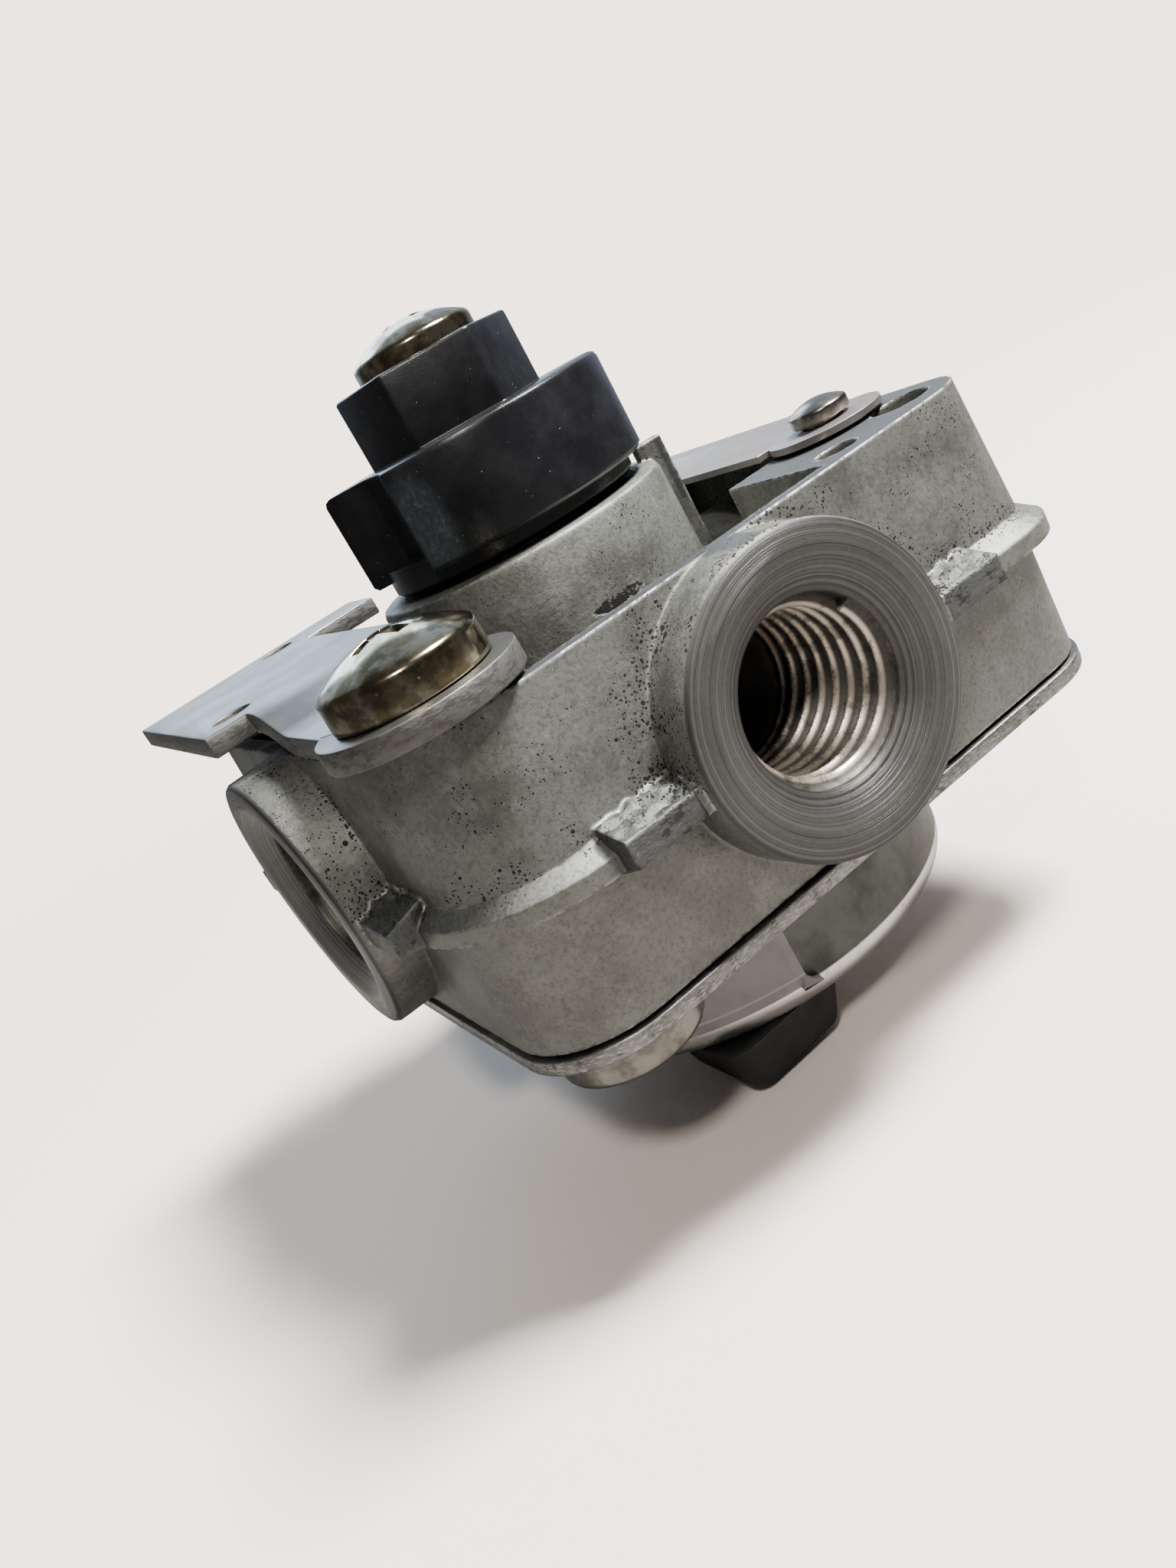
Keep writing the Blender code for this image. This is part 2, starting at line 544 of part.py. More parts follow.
# Switch bracket: sheet with a lobe under its screw, a ramp and a raised plate behind it
edge_left = -half + NECK_LEFT
edge_right = -NECK_R - HUB_CLEAR
straight = -BRACKET_AT - edge_left
lobe_r = straight + LOBE_BULGE
lobe = arc(-BRACKET_AT, -BRACKET_AT, lobe_r, 180 + math.degrees(math.acos(straight / lobe_r)), 405, 16)
low_poly = [(edge_left, RAMP_START)] + lobe + [(edge_right, RAMP_START)]
ramp_poly = [(edge_left, RAMP_START), (edge_right, RAMP_START), (edge_right, RAMP_END),
             (edge_left, RAMP_END)]
up_poly = [(edge_left, RAMP_END), (edge_right, RAMP_END), (edge_right, PLATE_BACK - TOE_DEPTH),
           (TOE_X, PLATE_BACK - TOE_DEPTH), (TOE_X, PLATE_BACK), (PLATE_LEFT, PLATE_BACK),
           (PLATE_LEFT, PLATE_FRONT), (edge_left, PLATE_FRONT)]


def bent_sheet(name, polys, level, t, kind):
    """Solid sheet over polygons that share corners; level gives the lower face's height."""
    bm = bmesh.new()
    known = {}

    def corner(x, y, top):
        key = (round(x, 7), round(y, 7), top)
        if key not in known:
            known[key] = bm.verts.new((x, y, level(y) + (t if top else 0.0)))
        return known[key]

    count = {}
    for poly in polys:
        bm.faces.new([corner(x, y, True) for x, y in poly])
        bm.faces.new([corner(x, y, False) for x, y in reversed(poly)])
        for a, b in zip(poly, poly[1:] + poly[:1]):
            key = frozenset(((round(a[0], 7), round(a[1], 7)), (round(b[0], 7), round(b[1], 7))))
            count.setdefault(key, []).append((a, b))
    for pairs in count.values():
        if len(pairs) == 1:
            a, b = pairs[0]
            bm.faces.new((corner(*a, False), corner(*b, False), corner(*b, True), corner(*a, True)))
    return to_object(name, bm, kind)


def bracket_level(y):
    share = min(1.0, max(0.0, (y - RAMP_START) / (RAMP_END - RAMP_START)))
    return Z_BRACKET + RAISE * share


bracket = bent_sheet("switch_bracket", [low_poly, ramp_poly, up_poly], bracket_level, SHEET_T,
                     "plated_sheet")
combine(bracket, rod("bracket_screw_hole", M5_R + 2 * THREAD_GAP, Z_BRACKET - 0.001,
                     Z_BRACKET_TOP + 0.001, at=(-BRACKET_AT, -BRACKET_AT, 0)))
for k, step in enumerate((0, 1), 1):
    combine(bracket, rod("switch_hole_%d" % k, SWITCH_HOLE_R, Z_BRACKET + RAISE - 0.001,
                         Z_BRACKET_TOP + RAISE + 0.001,
                         at=(SWITCH_HOLE_X + step * SWITCH_PITCH_X,
                             SWITCH_HOLE_Y + step * SWITCH_PITCH_Y, 0), steps=20))
pan_screw("bracket_screw", -BRACKET_AT, -BRACKET_AT, Z_BRACKET_TOP + GAP, M5_R, BRACKET_HEAD_R, M5_HEAD_H,
          M5_LENGTH + SHEET_T, "yellow_zinc")

# Thin plate along the right side, under two small screws
side_right = half - DRAFT_TOP - SIDE_EDGE
front_lobe = arc(SIDE_SCREW_X, SIDE_SCREW_Y, SIDE_LOBE_R, 215, 350, 12)
rear_lobe = arc(SCREW_AT, SCREW_AT, SIDE_LOBE_R, 15, 165, 12)
side_line = ([(half - PAD_X + 0.0002, SIDE_SCREW_Y)] + front_lobe + [(side_right, -0.0090)]
             + [(side_right, SCREW_AT - 0.0030)] + rear_lobe
             + [(SIDE_IN_X, SCREW_AT - 0.0030), (SIDE_IN_X, -0.0070)])
side_plate = prism("side_plate", side_line, Z_TOP + GAP, Z_TOP + GAP + SIDE_T, "plated_sheet")
for where, (x, y) in SIDE_SCREWS.items():
    combine(side_plate, rod("side_plate_hole_" + where, M3_R + THREAD_GAP, Z_TOP, Z_TOP + 0.002,
                            at=(x, y, 0), steps=20))
    pan_screw("side_plate_screw_" + where, x, y, Z_TOP + 2 * GAP + SIDE_T, M3_R, M3_HEAD_R,
              M3_HEAD_H, M3_LENGTH, "bright_zinc", cross=False)

# Cover with its seal and screws
turned("cover_seal", ring_profile(SEAL_IN_R, SEAL_IN_R + SEAL_W, Z_BASE, Z_BASE + SEAL_T),
       "rubber", steps=28)
cover = prism("cover_plate", body_line(COVER_OVER, LOWER_CORNERS), Z_COVER_LOW, Z_COVER, "bright_zinc")
combine(cover, rod("drive_hole", DRIVE_HOLE_R, Z_COVER_LOW - 0.001, Z_COVER + 0.001, steps=24))
for where, (x, y) in COVER_SCREWS.items():
    combine(cover, rod("cover_plate_hole_" + where, M5_R + 2 * THREAD_GAP, Z_COVER_LOW - 0.001,
                       Z_COVER + 0.001, at=(x, y, 0)))
    pan_screw("cover_screw_" + where, x, y, Z_COVER_LOW - GAP, M5_R, M5_HEAD_R, M5_HEAD_H,
              M5_LENGTH + COVER_T, "bright_zinc", up=-1)
turned("drive_seal", ring_profile(SHAFT_R + GAP, DRIVE_HOLE_R - GAP, Z_COVER_LOW + 0.0001,
                                  Z_COVER - 0.0001), "rubber", steps=20)

# Motor can: drawn cup with a rounded lower edge, closed above by the motor plate
edge = [(CAN_R - CAN_EDGE_R + CAN_EDGE_R * math.cos(a), Z_CAN_END + CAN_EDGE_R - CAN_EDGE_R * math.sin(a))
        for a in (math.radians(90 - 90 * i / 3) for i in range(4))]
can = turned("motor_can", [(0, Z_CAN_END)] + edge + [
    (CAN_R, Z_CAN), (CAN_R - CAN_WALL, Z_CAN), (CAN_R - CAN_WALL, Z_CAN_FLOOR), (0, Z_CAN_FLOOR)],
    "bright_zinc", steps=44)
combine(can, rod("wire_hole", 0.0015, Z_CAN_END - 0.001, Z_CAN_FLOOR + 0.001,
                 at=(BLOCK_X, BLOCK_Y, 0), steps=16))
inside_r = CAN_R - CAN_WALL - GAP
z_plate_low = Z_CAN - MOTOR_PLATE_T
turned("motor_plate", ring_profile(SHAFT_R + GAP, inside_r, z_plate_low, Z_CAN), "steel", steps=28)

# Label: a bare sheet bent round the can
r0 = CAN_R + LABEL_GAP
strip = (arc(0, 0, r0 + LABEL_T, LABEL_START, LABEL_END, 24)
         + arc(0, 0, r0, LABEL_END, LABEL_START, 24))
prism("motor_label", strip, Z_CAN_END + CAN_EDGE_R + LABEL_MARGIN * 0.3, Z_CAN - LABEL_MARGIN, "label")


def gear_line(module, teeth, turn=0.0):
    """Outline of a gear wheel: teeth with sloped flanks between root and tip; turn is in teeth."""
    tip = module * (teeth / 2 + TIP_SHARE)
    root = module * (teeth / 2 - ROOT_SHARE)
    pts = []
    for i in range(teeth):
        for share, r in ((-0.30, root), (-0.12, tip), (0.12, tip), (0.30, root)):
            a = 2 * math.pi * (i + share + turn) / teeth
            pts.append((r * math.cos(a), r * math.sin(a)))
    return pts


# Reduction gear: rotor pinion, idler with its own pinion, output gear back on the plug's axis
out_module = 2 * GEAR_AXIS / (PINION_TEETH * (OUT_RATIO + 1))
in_module = 2 * GEAR_AXIS / (PINION_TEETH * (IN_RATIO + 1))
z_gear_top = z_plate_low - GAP
z_gear_low = z_gear_top - GEAR_T
z_idler_top = z_gear_low - GAP - 0.0001
z_idler_low = z_idler_top - IDLER_T
z_pole_top = z_idler_low - GAP - 0.0005
z_pole_low = z_pole_top - POLE_T
gear = prism("output_gear", gear_line(out_module, PINION_TEETH * OUT_RATIO), z_gear_low, z_gear_top, "nylon")
combine(gear, rod("output_gear_bore", SHAFT_R + GAP, z_gear_low - 0.001, z_gear_top + 0.001, steps=20))
shaft = rod("output_shaft", SHAFT_R, z_gear_low, Z_PLUG_BASE - GAP, "steel", steps=20)
tongue_low = Z_PLUG_BASE - 0.0012
combine(shaft, box("tongue_add", -TONGUE_L / 2, TONGUE_L / 2, -TONGUE_W / 2, TONGUE_W / 2,
                   tongue_low, tongue_low + 0.0012 + TONGUE_H), "UNION")
idler = prism("cluster_gear", gear_line(in_module, PINION_TEETH * IN_RATIO), z_idler_low, z_idler_top,
              "nylon", at=(0, GEAR_AXIS, 0))
combine(idler, prism("idler_pinion_add", gear_line(out_module, PINION_TEETH, 0.5), z_idler_top - 0.0003,
                     z_gear_top, at=(0, GEAR_AXIS, 0)), "UNION")
combine(idler, rod("idler_bore", POST_PIN_R + GAP, z_idler_low - 0.001, z_gear_top + 0.001,
                   at=(0, GEAR_AXIS, 0)))
rod("gear_post", POST_PIN_R, z_pole_top + GAP, z_plate_low - GAP, "steel", at=(0, GEAR_AXIS, 0))
rotor = turned("magnet_rotor", [
    (0, Z_CAN_FLOOR + GAP), (ARBOR_R, Z_CAN_FLOOR + GAP), (ARBOR_R, Z_CAN_FLOOR + 2 * GAP),
    (MAGNET_R, Z_CAN_FLOOR + 2 * GAP), (MAGNET_R, z_pole_low - GAP), (ARBOR_R, z_pole_low - GAP),
    (ARBOR_R, z_idler_low + 0.0002), (0, z_idler_low + 0.0002)], "ferrite", steps=24)
combine(rotor, prism("rotor_pinion_add", gear_line(in_module, PINION_TEETH, 0.5), z_pole_top + GAP,
                     z_gear_low - GAP), "UNION")
turned("pole_plate", ring_profile(ARBOR_R + GAP, inside_r, z_pole_low, z_pole_top), "steel", steps=28)
bob_low = Z_CAN_FLOOR + GAP
bob_top = z_pole_low - GAP
bob_out = inside_r - 0.0002
turned("coil_bobbin", [
    (BOBBIN_IN_R, bob_low), (bob_out, bob_low), (bob_out, bob_low + BOBBIN_WALL),
    (BOBBIN_IN_R + BOBBIN_WALL, bob_low + BOBBIN_WALL), (BOBBIN_IN_R + BOBBIN_WALL, bob_top - BOBBIN_WALL),
    (bob_out, bob_top - BOBBIN_WALL), (bob_out, bob_top), (BOBBIN_IN_R, bob_top)], "nylon", steps=28)
turned("coil_winding", ring_profile(BOBBIN_IN_R + BOBBIN_WALL + GAP, bob_out - 0.0006,
                                    bob_low + BOBBIN_WALL + GAP, bob_top - BOBBIN_WALL - GAP),
       "copper", steps=28)

# Terminal block under the can with two blades at its back
z_block = Z_CAN_END - GAP


def block_ring(shrink):
    pts = round_square(BLOCK_W / 2 - shrink, [BLOCK_CORNER_R] * 4, 3, half_y=BLOCK_L / 2 - shrink)
    return [(BLOCK_X + x, BLOCK_Y + y) for x, y in pts]


block = loft("terminal_housing", [
    (block_ring(BLOCK_TAPER + 0.0006), z_block - BLOCK_H), (block_ring(BLOCK_TAPER), z_block - BLOCK_H + 0.0006),
    (block_ring(0.0), z_block)], "black_plastic")
blade_z = z_block - BLOCK_H / 2
blade_y = BLOCK_Y + BLOCK_L / 2
for k, side in enumerate((-1, 1), 1):
    x = BLOCK_X + side * BLADE_W * 0.75
    combine(block, box("blade_slot_%d" % k, x - BLADE_W / 2 - GAP, x + BLADE_W / 2 + GAP,
                       blade_y - BLADE_IN - GAP, blade_y + 0.002, blade_z - BLADE_T / 2 - GAP,
                       blade_z + BLADE_T / 2 + GAP))
    box("terminal_blade_%d" % k, x - BLADE_W / 2, x + BLADE_W / 2, blade_y - BLADE_IN,
        blade_y + BLADE_OUT, blade_z - BLADE_T / 2, blade_z + BLADE_T / 2, "steel")
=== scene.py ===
import math

import bmesh
import bpy
from mathutils import Matrix, Vector


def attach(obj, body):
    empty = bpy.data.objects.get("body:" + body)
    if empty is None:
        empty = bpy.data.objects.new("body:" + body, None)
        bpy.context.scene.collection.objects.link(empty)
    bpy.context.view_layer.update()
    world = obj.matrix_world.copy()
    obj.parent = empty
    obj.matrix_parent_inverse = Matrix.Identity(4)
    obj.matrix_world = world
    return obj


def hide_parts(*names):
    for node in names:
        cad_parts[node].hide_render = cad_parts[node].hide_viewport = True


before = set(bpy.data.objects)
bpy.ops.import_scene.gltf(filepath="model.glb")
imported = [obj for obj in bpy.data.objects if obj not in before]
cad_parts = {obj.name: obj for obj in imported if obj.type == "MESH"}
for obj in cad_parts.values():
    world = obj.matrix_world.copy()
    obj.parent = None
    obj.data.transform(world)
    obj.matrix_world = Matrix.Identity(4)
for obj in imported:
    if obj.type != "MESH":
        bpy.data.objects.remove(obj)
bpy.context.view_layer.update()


# Housing
# One zinc die casting: a square box with a recess behind its thin rim, a round neck for the stem,
# three threaded port bosses and the parting flange with its gate tabs. The faces that seal are turned.
FOOT = -0.0104
RIM = 0.0104
WALL = 0.0250           # half of the box's width at the foot
WALL_MID = 0.02486      # half width just above the flange
WALL_TOP = 0.0243       # half width at the rim, after the draft
LOWER_TOP, UPPER_FOOT = -0.0011, -0.0015    # the two boxes overlap inside the flange
LOWER_CORNERS = (0.0070, 0.0070, 0.0070, 0.0056)   # rear right, rear left, front left, front right
FLANGE_CORNERS = (0.0081, 0.0081, 0.0106, 0.0054)
UPPER_CORNERS = (0.0070, 0.0070, 0.0088, 0.0046)
FLANGE = 0.0261
FLANGE_LOW, FLANGE_HIGH, SLOPE_HIGH = -0.0018, -0.0006, 0.0005
RIM_WALL = 0.0013
RECESS_FLOOR = -0.0054
RECESS_X, RECESS_Y = 0.0105, -0.0122        # the front right corner stays solid beyond these
TOOL_LOW, TOOL_HIGH = -0.012, 0.020         # cutting tools reach past the foot and the rim
NECK_R, NECK_TOP = 0.01185, 0.0143
LUG_ANGLE = -18.0       # degrees round the neck
TAB_NEAR, TAB_FAR = 0.00955, 0.01625        # a gate tab's ends beside its port
TAB_ROOT, TAB_TIP, TAB_LOW, TAB_HIGH = 0.0241, 0.0278, -0.0024, 0.0012
PORT_R, PORT_FACE = 0.01035, 0.0284
SINK_R, SINK_DEPTH = 0.0083, 0.0012
THREAD_R, THREAD_CORE_R, THREAD_END = 0.0060, 0.0052, 0.0156
PITCH, TURNS = 0.0015, 6.55
DUCT_R, DUCT_WALL_R = 0.0029, 0.0076
CHAMBER_R = 0.0090
POST_R, POST_AT = 0.0056, 0.0184
BRACKET_AT = 0.0193
SIDE_SCREW = (0.0186, -0.0146)
TAP_R, CLEAR_R = 0.0026, 0.0029             # the large screws' tapped and clearance holes
SMALL_TAP_R = 0.0016
PORTS = {"front": -90.0, "left": 180.0, "right": 0.0}


def start_clean():
    """Leave edit mode with nothing selected."""
    if bpy.context.object and bpy.context.object.mode != "OBJECT":
        bpy.ops.object.mode_set(mode="OBJECT")
    bpy.ops.object.select_all(action="DESELECT")


def edit(piece):
    """Go into edit mode on one piece, everything deselected."""
    start_clean()
    bpy.context.view_layer.objects.active = piece
    piece.select_set(True)
    bpy.ops.object.mode_set(mode="EDIT")
    bpy.ops.mesh.select_all(action="DESELECT")


def pick(kind, test):
    """Select the verts, edges or faces that pass the test, and nothing else."""
    bpy.ops.mesh.select_mode(type={"verts": "VERT", "edges": "EDGE", "faces": "FACE"}[kind])
    bpy.ops.mesh.select_all(action="DESELECT")
    mesh = bmesh.from_edit_mesh(bpy.context.object.data)
    for part in getattr(mesh, kind):
        if test(part):
            part.select_set(True)
    bmesh.update_edit_mesh(bpy.context.object.data)


def settle(piece, name=None):
    """Put the piece's place, turn and size into its mesh."""
    start_clean()
    piece.select_set(True)
    bpy.context.view_layer.objects.active = piece
    bpy.ops.object.transform_apply(location=True, rotation=True, scale=True)
    if name:
        piece.name = name
    return piece


def rounded_block(name, low, high, corners=(), steps=10):
    """A block whose upright edges are bevelled, each to its own radius, rear right first."""
    start_clean()
    size = [b - a for a, b in zip(low, high)]
    bpy.ops.mesh.primitive_cube_add(size=1, location=[(a + b) / 2 for a, b in zip(low, high)], scale=size)
    piece = settle(bpy.context.object, name)
    edit(piece)
    places = ((high[0], high[1]), (low[0], high[1]), (low[0], low[1]), (high[0], low[1]))
    for (x, y), r in zip(places, corners):
        pick("edges", lambda e: all(abs(v.co.x - x) < 1e-6 and abs(v.co.y - y) < 1e-6 for v in e.verts))
        bpy.ops.mesh.bevel(offset=r, segments=steps, profile=0.5, affect="EDGES", clamp_overlap=False)
    bpy.ops.object.mode_set(mode="OBJECT")
    return piece


def turned(name, profile, sides=64, look=None, at=(0, 0, 0)):
    """Extrude and resize a filled circle along (radius, height) steps, then aim its axis."""
    start_clean()
    r, z = profile[0]
    bpy.ops.mesh.primitive_circle_add(vertices=sides, radius=r, fill_type="NGON", location=(0, 0, z))
    piece = settle(bpy.context.object, name)
    edit(piece)
    bpy.ops.mesh.select_all(action="SELECT")
    for wide, high in profile[1:]:
        bpy.ops.mesh.extrude_region_move(TRANSFORM_OT_translate={"value": (0, 0, high - z)})
        bpy.ops.transform.resize(value=(wide / r, wide / r, 1), center_override=(0, 0, high))
        r, z = wide, high
    bpy.ops.mesh.select_all(action="SELECT")
    bpy.ops.mesh.normals_make_consistent(inside=False)
    bpy.ops.object.mode_set(mode="OBJECT")
    if look is not None:
        piece.rotation_mode = "QUATERNION"
        piece.rotation_quaternion = Vector((0, 0, 1)).rotation_difference(Vector(look))
    piece.location = at
    return settle(piece)


def shape_with(piece, tool, how="DIFFERENCE"):
    """Cut the piece with another solid, or join it on; the tool is thrown away."""
    start_clean()
    piece.select_set(True)
    bpy.context.view_layer.objects.active = piece
    change = piece.modifiers.new("shape", "BOOLEAN")
    change.solver, change.operation, change.object = "EXACT", how, tool
    bpy.ops.object.modifier_apply(modifier=change.name)
    bpy.data.objects.remove(tool, do_unlink=True)
    return piece


def soften(piece, width, steps=2, angle=40):
    """Break the sharp edges with a Bevel modifier and shade the rest smooth."""
    start_clean()
    piece.select_set(True)
    bpy.context.view_layer.objects.active = piece
    if width:
        change = piece.modifiers.new("soft_edges", "BEVEL")
        change.width, change.segments = width, steps
        change.limit_method, change.angle_limit = "ANGLE", math.radians(angle)
        bpy.ops.object.modifier_apply(modifier=change.name)
    bpy.ops.object.shade_smooth_by_angle(angle=math.radians(35))
    return piece


def facing(angle):
    return (math.cos(math.radians(angle)), math.sin(math.radians(angle)), 0)


def duct_tool(side, angle, r):
    """The solid that stands round a duct: a rod along the port and the web that carries it."""
    rod = turned("duct_" + side, [(r, 0.0), (r, 0.030)], 40, facing(angle))
    web = rounded_block("web_" + side, (0.0, -r, -0.020), (0.030, r, 0.0))
    web.rotation_euler = (0, 0, math.radians(angle))
    settle(web)
    return shape_with(rod, web, "UNION")


housing = rounded_block("housing", (-WALL, -WALL, FOOT), (WALL, WALL, LOWER_TOP), LOWER_CORNERS)
flange = rounded_block("flange", (-FLANGE, -FLANGE, FLANGE_LOW), (FLANGE, FLANGE, FLANGE_HIGH),
                       FLANGE_CORNERS)
edit(flange)
pick("faces", lambda f: f.normal.z > 0.9)
bpy.ops.mesh.extrude_region_move(TRANSFORM_OT_translate={"value": (0, 0, SLOPE_HIGH - FLANGE_HIGH)})
bpy.ops.transform.resize(value=(WALL_MID / FLANGE, WALL_MID / FLANGE, 1), center_override=(0, 0, 0))
shape_with(housing, flange, "UNION")
upper = rounded_block("upper", (-WALL_MID, -WALL_MID, UPPER_FOOT), (WALL_MID, WALL_MID, RIM), UPPER_CORNERS)
edit(upper)
pick("faces", lambda f: f.normal.z > 0.9)
bpy.ops.transform.resize(value=(WALL_TOP / WALL_MID, WALL_TOP / WALL_MID, 1), center_override=(0, 0, 0))
shape_with(housing, upper, "UNION")

inside = WALL_TOP - RIM_WALL
recess = rounded_block("recess", (-inside, -inside, RECESS_FLOOR), (inside, inside, 0.0160),
                       [r - 0.0020 for r in UPPER_CORNERS])
shape_with(recess, turned("neck_foot", [(NECK_R + 0.0004, TOOL_LOW), (NECK_R - 0.0003, TOOL_HIGH)], 72))
for side, angle in PORTS.items():
    shape_with(recess, duct_tool(side, angle, DUCT_WALL_R))
for sx, sy in ((-1, -1), (1, -1), (1, 1), (-1, 1)):
    shape_with(recess, turned("post", [(POST_R + 0.0002, TOOL_LOW), (POST_R, TOOL_HIGH)], 40,
                              at=(sx * POST_AT, sy * POST_AT, 0)))
shape_with(recess, rounded_block("land", (RECESS_X, -0.030, TOOL_LOW), (0.030, RECESS_Y, TOOL_HIGH)))
shape_with(housing, recess)

shape_with(housing, turned("neck", [
    (NECK_R + 0.0003, -0.0060), (NECK_R, NECK_TOP - 0.0006), (NECK_R - 0.00018, NECK_TOP - 0.00018),
    (NECK_R - 0.0006, NECK_TOP)], 96), "UNION")
lug = rounded_block("lug", (NECK_R - 0.001, -0.00065, 0.0040), (NECK_R + 0.0012, 0.00065, 0.0155))
lug.rotation_euler = (0, 0, math.radians(LUG_ANGLE))
shape_with(housing, settle(lug), "UNION")
for side, angle in PORTS.items():
    shape_with(housing, turned("boss_" + side, [
        (PORT_R + 0.0001, 0.0232), (PORT_R, PORT_FACE - 0.0004), (PORT_R - 0.0002, PORT_FACE - 0.0001),
        (PORT_R - 0.0005, PORT_FACE)], 96, facing(angle)), "UNION")
    for hand in (-1, 1):
        # A gate tab tapers outwards, and its upper side is rough where the gate was broken off
        near, far = sorted((hand * TAB_NEAR, hand * TAB_FAR))
        tab = rounded_block("tab", (TAB_ROOT, near, TAB_LOW), (TAB_TIP, far, TAB_HIGH))
        edit(tab)
        pick("faces", lambda f: f.normal.x > 0.9)
        bpy.ops.transform.resize(value=(1, 0.96, 0.5),
                                 center_override=(TAB_TIP, (near + far) / 2, FLANGE_HIGH))
        pick("faces", lambda f: f.normal.z > 0.5)
        bpy.ops.mesh.subdivide(number_cuts=9)
        pick("verts", lambda v: all(f.normal.z > 0.5 for f in v.link_faces))
        bpy.ops.transform.vertex_random(offset=0.00028, uniform=0.0, normal=1.0,
                                        seed=int(angle) + hand + 200)
        bpy.ops.object.mode_set(mode="OBJECT")
        tab.rotation_euler = (0, 0, math.radians(angle))
        shape_with(housing, settle(tab), "UNION")

shape_with(housing, turned("chamber", [
    (CHAMBER_R, FOOT - 0.001), (CHAMBER_R, 0.0071), (0.0041, 0.0071), (0.0041, 0.0093),
    (0.0094, 0.0093), (0.0094, NECK_TOP - 0.0004), (0.0099, NECK_TOP + 0.0001), (0.0100, 0.0160)], 72))
for side, angle in PORTS.items():
    mouth = PORT_FACE - SINK_DEPTH
    shape_with(housing, turned("bore_" + side, [
        (DUCT_R, CHAMBER_R * 0.5), (DUCT_R, THREAD_END - 0.0008), (THREAD_CORE_R, THREAD_END),
        (THREAD_CORE_R, THREAD_END + 0.0006), (THREAD_R, THREAD_END + 0.0008), (THREAD_R, mouth),
        (SINK_R, PORT_FACE), (SINK_R + 0.0019, PORT_FACE + 0.001)], 72, facing(angle)))
groove = turned("groove", [(0.0125, FOOT - 0.001), (0.0125, FOOT + 0.0011)])
shape_with(groove, turned("groove_core", [(0.0102, FOOT - 0.002), (0.0102, FOOT + 0.002)]))
shape_with(housing, groove)
# Blind holes: name, radius, x, y, lower end, upper end
HOLES = (("cover_front", TAP_R, -POST_AT, -POST_AT, FOOT - 0.001, -0.0021),
         ("cover_rear", TAP_R, POST_AT, POST_AT, FOOT - 0.001, -0.0021),
         ("bracket", TAP_R, -BRACKET_AT, -BRACKET_AT, 0.0021, 0.012),
         ("free", 0.0021, 0.0206, -0.0202, 0.0024, 0.012),
         ("small", 0.0015, 0.0133, -0.0212, 0.0044, 0.012),
         ("side_front", SMALL_TAP_R, *SIDE_SCREW, 0.0051, 0.012),
         ("side_rear", SMALL_TAP_R, POST_AT, POST_AT, 0.0051, 0.012))
for name, r, x, y, z0, z1 in HOLES:
    shape_with(housing, turned("hole_" + name, [(r, z0), (r, z1)], 32, at=(x, y, 0)))

# A thread is a ridge wound along its bore, with its root in the wall and its ends out of sight
RIDGE_ROOT, RIDGE_CREST = THREAD_R + 0.0001, THREAD_CORE_R + 0.00004
RIDGE = ((RIDGE_ROOT, 0.0), (RIDGE_CREST, 0.00062), (RIDGE_CREST, 0.00078), (RIDGE_ROOT, 0.0014))
for side, angle in PORTS.items():
    start_clean()
    bpy.ops.mesh.primitive_circle_add(vertices=4, radius=0.0004, fill_type="NOTHING")
    thread = settle(bpy.context.object, "thread_" + side)
    for corner, (r, z) in zip(thread.data.vertices, RIDGE):
        corner.co = (r, 0, THREAD_END + 0.0004 + z)
    winding = thread.modifiers.new("winding", "SCREW")
    winding.angle, winding.screw_offset, winding.iterations = math.tau * TURNS, PITCH * TURNS, 1
    winding.steps = winding.render_steps = 400
    winding.use_merge_vertices = False
    bpy.context.view_layer.objects.active = thread
    bpy.ops.object.modifier_apply(modifier="winding")
    edit(thread)
    bpy.ops.mesh.select_all(action="SELECT")
    bpy.ops.mesh.remove_doubles(threshold=1e-6)
    bpy.ops.mesh.select_mode(type="EDGE")
    bpy.ops.mesh.select_all(action="DESELECT")
    bpy.ops.mesh.select_non_manifold()
    bpy.ops.mesh.edge_face_add()
    bpy.ops.mesh.select_all(action="SELECT")
    bpy.ops.mesh.normals_make_consistent(inside=False)
    bpy.ops.object.mode_set(mode="OBJECT")
    thread.rotation_euler = (0, 0, math.radians(200 if side == "front" else 100))
    settle(thread)
    thread.rotation_mode = "QUATERNION"
    thread.rotation_quaternion = Vector((0, 0, 1)).rotation_difference(Vector(facing(angle)))
    settle(thread)
    start_clean()
    thread.select_set(True)
    housing.select_set(True)
    bpy.context.view_layer.objects.active = housing
    bpy.ops.object.join()
soften(housing, 0)


class Tone:
    """A value or colour that varies over a surface; arithmetic on it adds Math nodes."""

    def __init__(self, finish, socket):
        self.finish, self.socket = finish, socket

    def math(self, how, first, second=0.0):
        return self.finish.add("ShaderNodeMath", {"operation": how}, {0: first, 1: second})

    def __add__(self, other):
        return self.math("ADD", self, other)

    def __radd__(self, other):
        return self.math("ADD", other, self)

    def __sub__(self, other):
        return self.math("SUBTRACT", self, other)

    def __rsub__(self, other):
        return self.math("SUBTRACT", other, self)

    def __mul__(self, other):
        return self.math("MULTIPLY", self, other)

    def __rmul__(self, other):
        return self.math("MULTIPLY", other, self)

    def __pow__(self, other):
        return self.math("POWER", self, other)

    def __abs__(self):
        return self.math("ABSOLUTE", self)

    def __gt__(self, other):
        return self.math("GREATER_THAN", self, other)

    def __lt__(self, other):
        return self.math("LESS_THAN", self, other)


